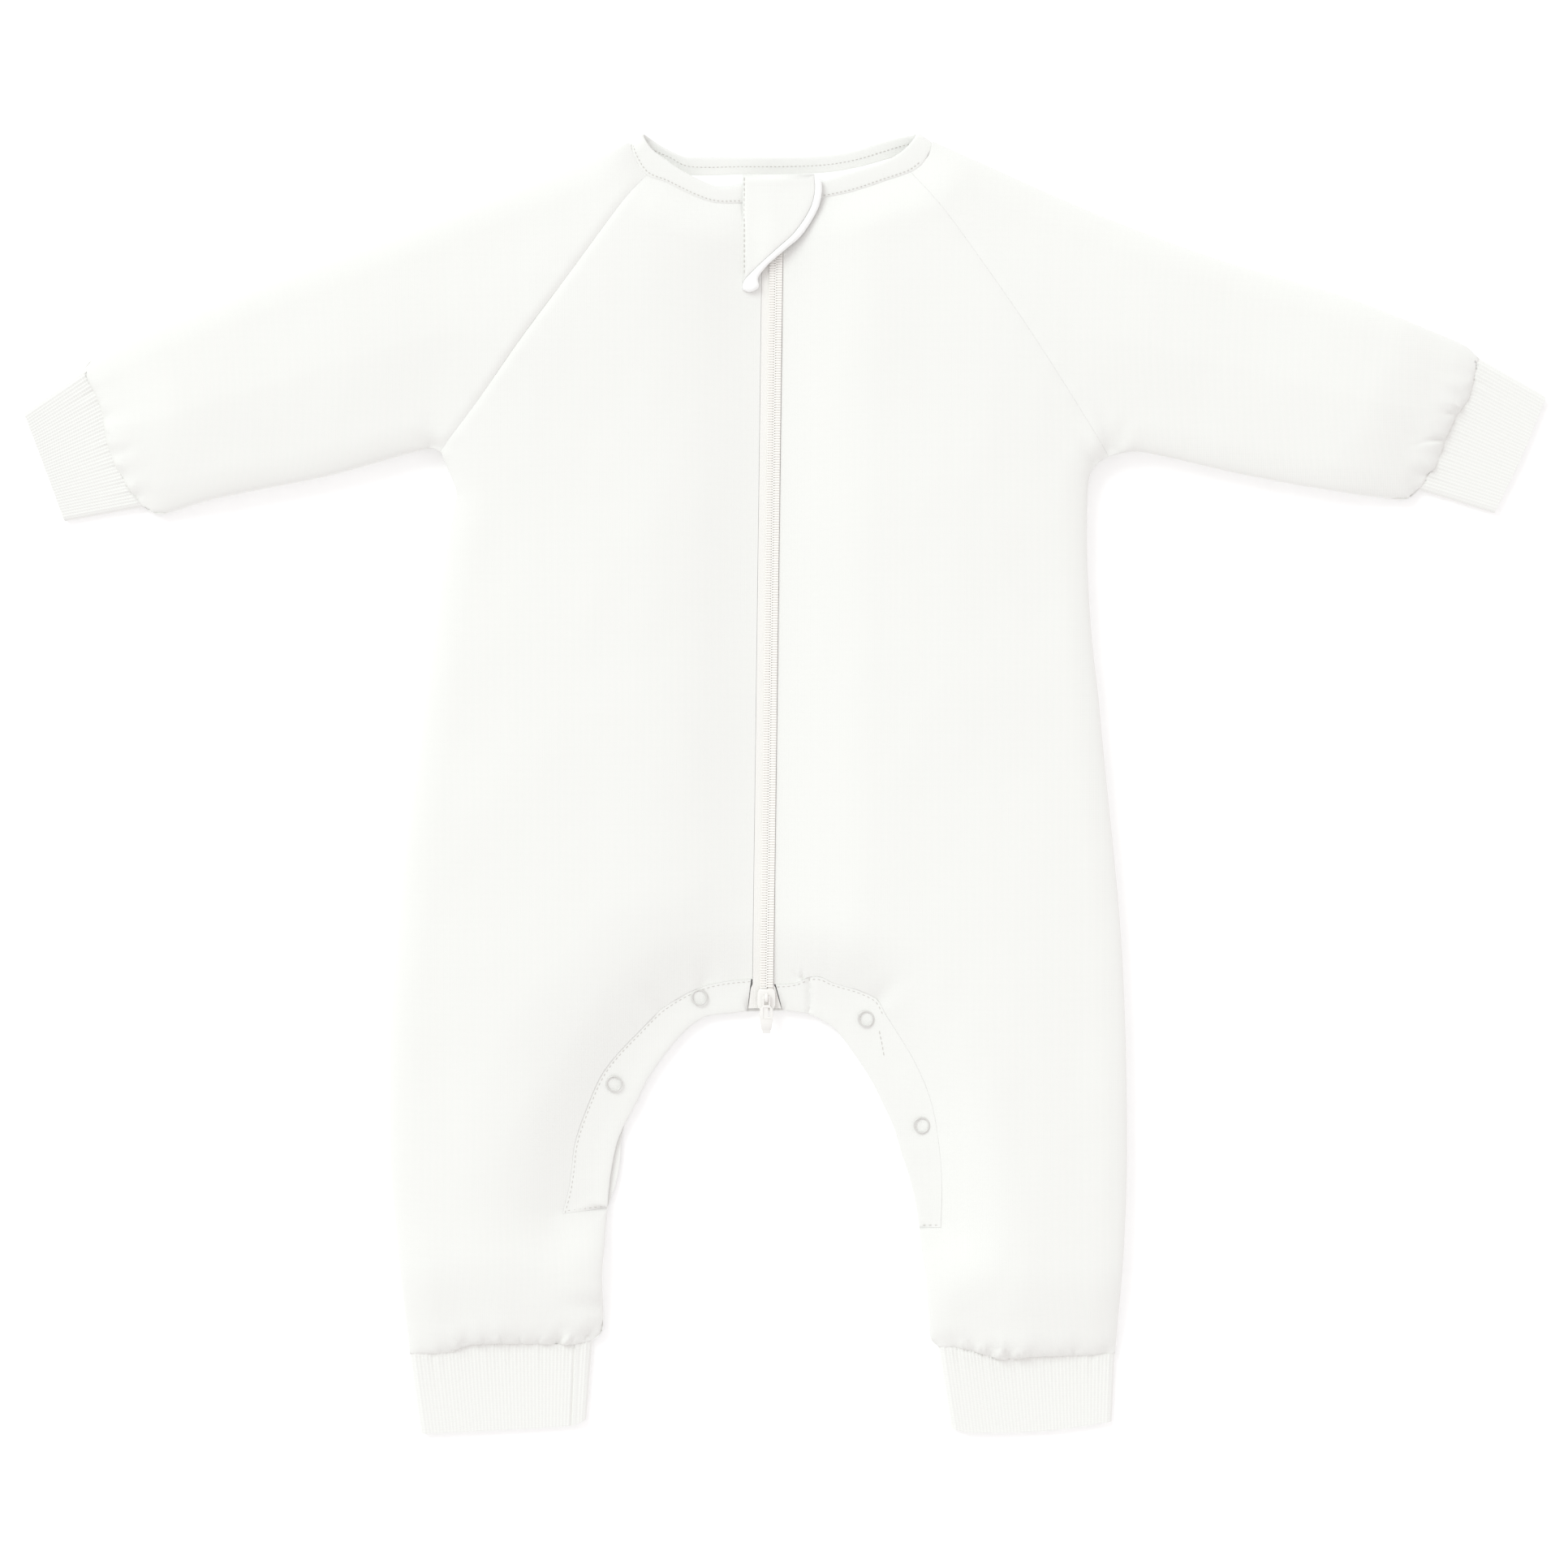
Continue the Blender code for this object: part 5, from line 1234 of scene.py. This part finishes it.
for side in SIDES:
    loop = joined([*zip_edge(ZIP_OFFSET[side], ZIP_TOP[1], TAPE_STEP_Y, 3), *TAPE_FOLD[side],
                   *zip_edge(0.0, TAPE_STEP_Y, ZIP_TOP[1], 3)])
    tape = wall(f"zip_tape_{side}_weave", loop, tape_top, lambda p: seam_level(p) + TAPE_LIFT,
                tape_weave, top_lattice=1.5, under_lattice=3.0, top_rings=(0.4,),
                under_rings=(0.4,), gap=0.1)
    stands_for(tape, f"zip_tape_{side}", slot="tape")
    print(tape.name, len(tape.data.polygons), "faces")

# %% One turn of the coil
TOOTH_PITCH = 1.28
TOOTH_LONG, TOOTH_WIDE, TOOTH_HIGH = 3.0, 0.96, 1.3
TOOTH_HEAD, TOOTH_BEVEL = 0.45, 0.16
TOOTH_NECK_SIZE, TOOTH_HEAD_SIZE = (1, 0.9, 0.72), (1, 1.25, 0.7)
FACING = 0.9  # a face looks along an axis if its normal has this much of it
WIRE_SIDES = 12


def only(obj):
    """Selects this object alone."""
    for other in bpy.context.selected_objects:
        other.select_set(False)
    obj.select_set(True)
    bpy.context.view_layer.objects.active = obj


def settled(obj, name):
    """Names an object, selects it alone and writes its place, turn and size into its mesh."""
    obj.name = name
    only(obj)
    bpy.ops.object.transform_apply(location=True, rotation=True, scale=True)
    return obj


def box_at(name, middle, size):
    """A cube primitive of this size and place, in millimetres, ready to be shaped."""
    bpy.ops.mesh.primitive_cube_add(size=1, location=[v * MM for v in middle])
    bpy.context.object.scale = [v * MM for v in size]
    return settled(bpy.context.object, name)


def torus_at(name, middle, radius, wire, segments, **more):
    """A ring of round wire at this place, in millimetres."""
    bpy.ops.mesh.primitive_torus_add(
        major_radius=radius * MM, minor_radius=wire * MM, major_segments=segments,
        minor_segments=WIRE_SIDES, location=[v * MM for v in middle], **more)
    return settled(bpy.context.object, name)


def pick_faces(obj, test):
    """Selects, in edit mode, the faces whose middle (in millimetres) and normal pass a test."""
    bpy.ops.object.mode_set(mode="EDIT")
    bpy.ops.mesh.select_mode(type="FACE")
    bpy.ops.mesh.select_all(action="DESELECT")
    bpy.ops.object.mode_set(mode="OBJECT")
    for face in obj.data.polygons:
        face.select = bool(test(face.center / MM, face.normal))
    bpy.ops.object.mode_set(mode="EDIT")


def make_tooth():
    """One turn: a bar with a drawn-in neck and a wider head at its inner end."""
    tooth = box_at("tooth", (0, 0, 0), (TOOTH_LONG, TOOTH_WIDE, TOOTH_HIGH))
    pick_faces(tooth, lambda middle, normal: normal.x > FACING)
    bpy.ops.transform.resize(value=TOOTH_NECK_SIZE)
    bpy.ops.mesh.extrude_region_move(TRANSFORM_OT_translate={"value": (TOOTH_HEAD * MM, 0, 0)})
    bpy.ops.transform.resize(value=TOOTH_HEAD_SIZE)
    bpy.ops.object.mode_set(mode="OBJECT")
    apply_modifier(tooth, "BEVEL", width=TOOTH_BEVEL * MM, segments=1, limit_method="NONE")
    return tooth


tooth = make_tooth()
tooth_points = np.array([v.co for v in tooth.data.vertices]) / MM
tooth_faces = [tuple(face.vertices) for face in tooth.data.polygons]
bpy.data.objects.remove(tooth)
print("a tooth has", len(tooth_faces), "faces")

# %% The chain
COIL_LIFT, COIL_HALF, COIL_FOOT_Y = 2.25, 3.2, -101.3
CHAIN_START, CHAIN_END = 0.8, 0.6  # the first turn below the zip's top, the last above its foot
TOOTH_CLEAR = 0.05
CORD_OFFSET, CORD_HALF, CORD_HIGH, CORD_LIFT = 1.75, 1.35, 0.4, 0.35
CORD_STEP, CORD_SIDES, CORD_END = 6, 8, 0.3


def coil_z(x, y):
    """The height at which the coil rests on its tapes."""
    return float(seam_level([(x, y)])[0]) + COIL_LIFT


def make_chain():
    """Both rows of turns, each row half a pitch after the other, and the cord inside each row."""
    bm = bmesh.new()
    for number in range(int((ZIP_TOP[1] - COIL_FOOT_Y) / TOOTH_PITCH)):
        for toward, half in ((1, 0.0), (-1, 0.5)):
            y = ZIP_TOP[1] - CHAIN_START - (number + half) * TOOTH_PITCH
            if y < COIL_FOOT_Y + CHAIN_END:
                continue
            place = Vector((zip_x(y, -toward * (COIL_HALF - TOOTH_LONG / 2)), y,
                            coil_z(zip_x(y), y) + TOOTH_HIGH / 2 + TOOTH_CLEAR))
            turn = [bm.verts.new(place + Vector((toward * x, toward * y_off, z)))
                    for x, y_off, z in tooth_points]
            for face in tooth_faces:
                bm.faces.new([turn[i] for i in face])
    for offset in (-CORD_OFFSET, CORD_OFFSET):
        cord = zip_edge(offset, ZIP_TOP[1] - CORD_END, COIL_FOOT_Y + CORD_END, CORD_STEP)
        tube(bm, [[bm.verts.new((x + CORD_HALF * cosine, y,
                                 coil_z(x, y) + CORD_LIFT + CORD_HIGH * sine))
                   for cosine, sine in circle(CORD_SIDES)] for x, y in cord])
    return finished("zip_chain", bm, zip_nylon, sharp=35)


chain = stands_for(make_chain(), "zip_coil", slot="coil")
print("chain:", len(chain.data.polygons), "faces")

# %% [markdown]
# ## Slider and pull tab
#
# The slider is a small die-cast body: two plates joined by a wedge, with a bridge on top that the
# pull tab hangs from. It is built as a caster's pattern is, from a few blocks that are tapered,
# bevelled and joined. The pull tab rides on its own body, because it swings about the bridge.

# %% Slider sizes
SLIDER_Y, SLIDER_HALF, SLIDER_PLATE = -105.5, 4.4, 1.0
SLIDER_UNDER_LIFT, SLIDER_TOP_LIFT = 0.35, 4.9
PLATE_NOSE, PLATE_TAIL = ((1.6, 0.94), (1.2, 0.78)), ((-1.4, 0.88), (-1.2, 0.8))
BRIDGE_RADIUS, BRIDGE_WIRE, BRIDGE_SUNK, BRIDGE_WIDEN = 1.9, 0.46, 0.3, 1.7
SLIDER_X = zip_x(SLIDER_Y)
SLIDER_LEVEL = float(seam_level([(SLIDER_X, SLIDER_Y)])[0])
SLIDER_FOOT, SLIDER_TOP = SLIDER_LEVEL + SLIDER_UNDER_LIFT, SLIDER_LEVEL + SLIDER_TOP_LIFT
HINGE_Y, HINGE_Z = SLIDER_Y + 0.6, SLIDER_TOP + BRIDGE_RADIUS
PLATE_Y, PLATE_LONG = SLIDER_Y - 0.5, 5.0
WEDGE_Y, WEDGE_WIDE, WEDGE_LONG, WEDGE_LOWER = SLIDER_Y - 2.2, 1.5, 6.0, 1.0
HARD_SMOOTH = math.radians(35)
print("slider top at", round(SLIDER_TOP, 2), "mm, hinge at", round(HINGE_Z, 2), "mm")


# %% Slider
def plate(name, low, high):
    """A slider plate: a block with tapered ends, drawn in from its middle part."""
    made = box_at(name, (SLIDER_X, PLATE_Y, (low + high) / 2),
                  (2 * SLIDER_HALF, PLATE_LONG, high - low))
    for end, steps in ((1, PLATE_NOSE), (-1, PLATE_TAIL)):
        pick_faces(made, lambda middle, normal: normal.y * end > FACING)
        for step, shrink in steps:
            bpy.ops.mesh.extrude_region_move(TRANSFORM_OT_translate={"value": (0, step * MM, 0)})
            bpy.ops.transform.resize(value=(shrink, 1, 1))
    bpy.ops.object.mode_set(mode="OBJECT")
    apply_modifier(made, "BEVEL", width=0.32 * MM, segments=3, limit_method="ANGLE",
                   angle_limit=math.radians(50))
    return made


def make_bridge():
    """The bridge is half a ring that stands on the top plate, along the zip."""
    bridge = torus_at("slider_bridge", (SLIDER_X, HINGE_Y, HINGE_Z), BRIDGE_RADIUS, BRIDGE_WIRE,
                      32, rotation=(0, math.pi / 2, 0))
    bpy.ops.object.mode_set(mode="EDIT")
    bpy.ops.mesh.select_all(action="SELECT")
    bpy.ops.mesh.bisect(plane_co=(0, 0, (SLIDER_TOP - BRIDGE_SUNK) * MM), plane_no=(0, 0, 1),
                        clear_inner=True, use_fill=True)
    bpy.ops.mesh.select_all(action="SELECT")
    bpy.ops.transform.resize(value=(BRIDGE_WIDEN, 1, 1))
    bpy.ops.object.mode_set(mode="OBJECT")
    return bridge


def in_metal(casting):
    """Gives a casting its finish and smooths its rounded edges."""
    casting.data.materials.clear()
    casting.data.materials.append(zip_metal)
    only(casting)
    bpy.ops.object.shade_smooth_by_angle(angle=HARD_SMOOTH)
    return casting


slider = plate("zip_slider_cast", SLIDER_TOP - SLIDER_PLATE, SLIDER_TOP)
lower_plate = plate("lower_plate", SLIDER_FOOT, SLIDER_FOOT + SLIDER_PLATE)
wedge = box_at("wedge", (SLIDER_X, WEDGE_Y, (SLIDER_FOOT + SLIDER_TOP) / 2),
               (WEDGE_WIDE, WEDGE_LONG, SLIDER_TOP - SLIDER_FOOT - WEDGE_LOWER))
for other in (lower_plate, wedge, make_bridge()):
    combine(slider, other, "UNION")
stands_for(in_metal(slider), "zip_slider", slot="zip_metal")
print("slider:", len(slider.data.polygons), "faces")

# %% Pull tab
PULL_THICK, PULL_DROOP = 1.3, math.radians(8.0)
PULL_START_HALF, PULL_START_LONG = 2.0, 1.9
PULL_STEPS = (  # how far each length goes, its half width there and how thick it is then
    (-3.0, 1.9, 1), (-1.2, 3.0, 1), (-3.2, 3.5, 1), (-3.6, 2.95, 1), (-3.9, 2.4, 1),
    (-0.25, 1.95, 0.82), (-1.5, 1.9, 1))
PULL_CUTS = (  # name, middle, size and how much its edges are rounded
    ("eye", (0, -2.2, 0), (2.3, 3.0, 4), 0),
    ("recess", (0.1, -7.6, PULL_THICK / 2), (3.4, 5.4, 0.7), 0.25),
    ("slot", (1.25, -7.4, 0), (0.9, 4.4, 4), 0),
    ("groove", (0, -10.6, PULL_THICK / 2), (9, 0.35, 0.4), 0))


def make_pull():
    """A tab that widens below its eye and tapers to a small stepped tip."""
    made = box_at("zip_pull_cast", (0, -0.3, 0),
                  (2 * PULL_START_HALF, PULL_START_LONG, PULL_THICK))
    width = PULL_START_HALF
    for step, half, thick in PULL_STEPS:
        foot = min(v.co.y for v in made.data.vertices) / MM
        pick_faces(made, lambda middle, normal: normal.y < -FACING and middle.y < foot + 0.1)
        bpy.ops.mesh.extrude_region_move(TRANSFORM_OT_translate={"value": (0, step * MM, 0)})
        bpy.ops.transform.resize(value=(half / width, 1, thick))
        bpy.ops.object.mode_set(mode="OBJECT")
        width = half
    apply_modifier(made, "BEVEL", width=0.28 * MM, segments=2, limit_method="ANGLE",
                   angle_limit=math.radians(45))
    return made


pull = make_pull()
for name, middle, size, rounding in PULL_CUTS:
    cutter = box_at(name, middle, size)
    if rounding:
        apply_modifier(cutter, "BEVEL", width=rounding * MM, segments=2, limit_method="NONE")
    combine(pull, cutter, "DIFFERENCE")
pull.rotation_euler = (PULL_DROOP, 0, 0)
pull.location = (SLIDER_X * MM, HINGE_Y * MM, HINGE_Z * MM)
stands_for(in_metal(settled(pull, pull.name)), "zip_pull", slot="zip_metal", body="pull")
print("pull tab:", len(pull.data.polygons), "faces, down to y",
      round(min(v.co.y for v in pull.data.vertices) / MM, 1))

# %% [markdown]
# ## Chin guard
#
# The chin guard is a small flap that covers the top of the zip. It stands a little proud of the
# front, so it throws the darkest shadow in the photograph. Its curved edge is wrapped in a pure
# white binding, which ends in a small hook.

# %% Chin guard
GUARD_WALL, BINDING_WALL, GUARD_REST = 2.2, 2.7, 0.3
GUARD_TOP_Z, GUARD_FOOT_Z, GUARD_SPAN = 12.8, 14.9, 34.0
GUARD_SEWN_REACH = 16.0  # past its sewn edge the flap lifts off the front
GUARD_ON_CLOTH = 0.1
GUARD_LEFT_X, GUARD_TOP_Y = -21.3, 300.0
GUARD_EDGE = ((14.0, 300.0), (14.2, 291), (11.5, 282), (4.5, 271.5), (-3.5, 264), (-12.5, 256),
              (-19.5, 249), (-21.3, 245.5))
BINDING_EDGE = ((14.0, 300.0), (17.6, 296.5), (17.6, 289), (15, 281), (8, 270), (-0.5, 262.5),
                (-9, 255), (-13.5, 249), (-13, 244.6), (-17.5, 242), (-21.3, 243.3))


def guard_rest(points):
    """The underside of the flap: sewn down on the left, and spanning the zip's valley."""
    x, y = np.asarray(points, float).T
    down = smooth((GUARD_TOP_Y - y) / GUARD_SPAN)
    stiff = GUARD_TOP_Z + (GUARD_FOOT_Z - GUARD_TOP_Z) * down
    sewn = np.where(y < FRONT_NECK_SEAM["left"][1][1], front_top(points), 0)
    sewn = np.maximum(sewn, NECKBAND_FRONT_Z + NECKBAND_WALL / 2) + GUARD_ON_CLOTH
    free = smooth((x - GUARD_LEFT_X) / GUARD_SEWN_REACH)
    return np.maximum(sewn, sewn + (stiff + GUARD_REST - sewn) * free)


GUARD_STEP = 1.5
guard_edge, binding_edge = through(GUARD_EDGE, GUARD_STEP), through(BINDING_EDGE, GUARD_STEP)
guard_loop = joined([(GUARD_LEFT_X, GUARD_TOP_Y)], guard_edge)
binding_loop = joined(guard_edge, binding_edge[::-1])


GUARD_EDGE_ROUND, GUARD_EDGE_DROP, GUARD_SEWN_ROUND, GUARD_SEWN_DROP = 2.0, 0.9, 3.0, 1.15
GUARD_UNEVEN, GUARD_UNEVEN_SIZE, BINDING_ROUND = 0.3, 13.0, 1.9


def guard_top(points):
    """The flap's outer face, rounded at its edges and pressed down where it is sewn on."""
    points = np.asarray(points, float)
    edge = rounded(distance(points, guard_loop + guard_loop[:1]) / GUARD_EDGE_ROUND)
    sewn = smooth((points[:, 0] - GUARD_LEFT_X) / GUARD_SEWN_ROUND)
    return (guard_rest(points) + GUARD_WALL - GUARD_EDGE_DROP * (1 - edge)
            - GUARD_SEWN_DROP * (1 - sewn)
            + GUARD_UNEVEN * ripple(points, GUARD_UNEVEN_SIZE, 5.5) * edge)


def binding_top(points):
    """A rolled edge: highest along its middle and turned under on both sides."""
    edge = rounded(distance(points, binding_loop + binding_loop[:1]) / BINDING_ROUND)
    return guard_rest(points) + BINDING_WALL - BINDING_ROUND * (1 - edge)


guard = wall("chin_guard_cloth", guard_loop, guard_top, guard_rest, shell_cotton,
             top_lattice=1.6, under_lattice=4.0, top_rings=(0.25, 0.7, 1.3), under_rings=(1.0,))
stands_for(guard, "chin_guard", slot="shell")
binding = wall("guard_binding_cloth", binding_loop, binding_top, guard_rest, binding_cotton,
               top_lattice=0.9, under_lattice=2.0, top_rings=(0.2, 0.5, 0.9),
               under_rings=(0.6,), gap=0.05)
stands_for(binding, "guard_binding", slot="binding")

# %% [markdown]
# ## Ring snaps
#
# An open ring snap shows only its thin metal ring, with the cloth of the band inside it. Each ring
# is a torus, flattened a little on top, at the height of the cloth under its own rim.

# %% Ring snaps
SNAPS = {"snap_left_upper": (-42.5, -105.0), "snap_left_lower": (-84.5, -147.5),
         "snap_right_upper": (39.5, -115.5), "snap_right_lower": (67.0, -168.0)}
SNAP_RADIUS, SNAP_WIRE = 3.65, 0.42
SNAP_RIM_POINTS, SNAP_LIFT = 12, 0.25
SNAP_FLAT_FROM, SNAP_FLATTENED = 0.75, 0.12  # the upward faces of a ring are pressed down

for name, (x, y) in SNAPS.items():
    rim = [(x + SNAP_RADIUS * cosine, y + SNAP_RADIUS * sine)
           for cosine, sine in circle(SNAP_RIM_POINTS)]
    z = float(band_top(rim).max()) + SNAP_LIFT
    snap = torus_at(f"{name}_ring", (x, y, z), SNAP_RADIUS, SNAP_WIRE, 56)
    pick_faces(snap, lambda middle, normal: normal.z > SNAP_FLAT_FROM)
    bpy.ops.transform.translate(value=(0, 0, -SNAP_FLATTENED * MM))
    bpy.ops.object.mode_set(mode="OBJECT")
    bpy.ops.object.shade_smooth()
    snap.data.materials.append(snap_metal)
    stands_for(snap, name, slot="snap")
print("snaps:", len(SNAPS))

# %% [markdown]
# ## Stitches
#
# A seam is read by its stitches. Each stitch is a short thread bead sunk into the cloth, so a row
# is one small shape with a few faces, repeated along a path and set on the surface under it. The
# rows are those of the photograph: the bands' seams, the neckband's rows and the guard's edge.
# The beads are grey: painted shade that stands for the shadow in each stitch hole.

# %% A row of stitches
STITCH_SHAPE = (  # along the thread, and how thick it is there
    (-0.5, 0.25), (-0.32, 0.85), (0.0, 1.0), (0.32, 0.85), (0.5, 0.25))
STITCH_SIDES = 6


def stitch_row(bm, path, height, length=1.7, gap=0.8, thick=0.42, lift=0.06):
    """Beads of thread along a path, which lies on the surface `height` or carries its own z."""
    path = [(*p, 0.0)[:3] for p in path]
    run = evenly(path, max(1, int(run_along(path)[-1] / (length + gap))))
    for start, end in zip(run, run[1:]):
        middle, along = (start + end) / 2, (end - start).normalized()
        side = Vector((-along.y, along.x, 0)).normalized()
        up = along.cross(side) * -1 if along.cross(side).z < 0 else along.cross(side)
        if height:
            middle.z = float(height([(middle.x, middle.y)])[0])
        tube(bm, [[bm.verts.new(middle + along * share * length + up * lift
                                + (side * cosine + up * sine) * thick * girth / 2)
                   for cosine, sine in circle(STITCH_SIDES)] for share, girth in STITCH_SHAPE])


def beside(line, away):
    """A path at this distance to the right of a polyline."""
    moved = []
    for before, here, after in zip(line[:1] + line[:-1], line, line[1:] + line[-1:]):
        along = Vector(after) - Vector(before)
        moved.append(tuple(Vector(here) + Vector((along.y, -along.x)).normalized() * away))
    return moved


# %% Stitches of the bands and the guard
BAND_STITCH, BAND_STITCHES_IN = {"length": 1.4, "gap": 1.1, "thick": 0.36}, 1.2
STITCHES_FADE_Y = -116.0  # down the right leg the band's stitches do not show
SHORT_ROW = ((46, -121), (47.5, -128), (48.5, -134))  # beside the right leg's upper snap
GUARD_STITCHES_IN, GUARD_STITCHES_Y = 0.9, (299, 250)

bm = bmesh.new()
for side, turn in (("left", 1), ("right", -1)):
    sewn = [p for p in BAND_SEAM[side] if side == "left" or p[1] > STITCHES_FADE_Y]
    stitch_row(bm, beside(through(sewn, 2), turn * BAND_STITCHES_IN), band_top, **BAND_STITCH)
    end_seam, end_edge = Vector(BAND_SEAM[side][0]), Vector(CROTCH_EDGE[side][0])
    foot = [end_seam.lerp(end_edge, share) + Vector((0, BAND_STITCHES_IN))
            for share in (0.08, 0.35, 0.65, 0.92)]
    stitch_row(bm, foot, band_top, **BAND_STITCH)
stitch_row(bm, SHORT_ROW, band_top, lift=0.1)
stitch_row(bm, [(GUARD_LEFT_X + GUARD_STITCHES_IN, y) for y in np.arange(*GUARD_STITCHES_Y, -1.0)],
           guard_top)
stitches = finished("stitches_bands_guard", bm, thread, sharp=80)
stands_for(stitches, slot="shell")
print("band and guard stitches:", len(stitches.data.polygons), "faces")

# %% Stitches of the neckband
COVER_ROW, TOPSTITCH_ROW = 0.42, 0.05  # share of the band's width from its sewn edge
NECK_STITCH = {"length": 1.1, "gap": 0.9, "thick": 0.4}
STITCH_SUNK = 0.96  # the share of the band's half thickness at which its stitches lie

bm = bmesh.new()
for start, stop, share in ((0, 9, TOPSTITCH_ROW), (21, 27, TOPSTITCH_ROW), (9, 19, COVER_ROW)):
    path = []
    for seam_x, seam_y, free_x, free_y, layer in NECKBAND_ROWS[start:stop]:
        at = Vector((seam_x, seam_y)).lerp(Vector((free_x, free_y)), share)
        path.append((at.x, at.y, neckband_z(layer) + NECKBAND_WALL / 2 * STITCH_SUNK))
    stitch_row(bm, through(path, 2), None, **NECK_STITCH)
neck_stitches = finished("stitches_neckband", bm, thread, sharp=80)
stands_for(neck_stitches, slot="shell")
print("neckband stitches:", len(neck_stitches.data.polygons), "faces")

# %% [markdown]
# ## Hand over
# Every piece rides on its body and stands for its CAD node. The triangles of the pieces shown are
# counted.

# %% Triangle count
import json

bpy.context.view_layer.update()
triangles = sum(len(p.vertices) - 2 for obj in bpy.data.objects
                if obj.type == "MESH" and not obj.hide_render for p in obj.data.polygons)
print("triangles shown:", triangles)
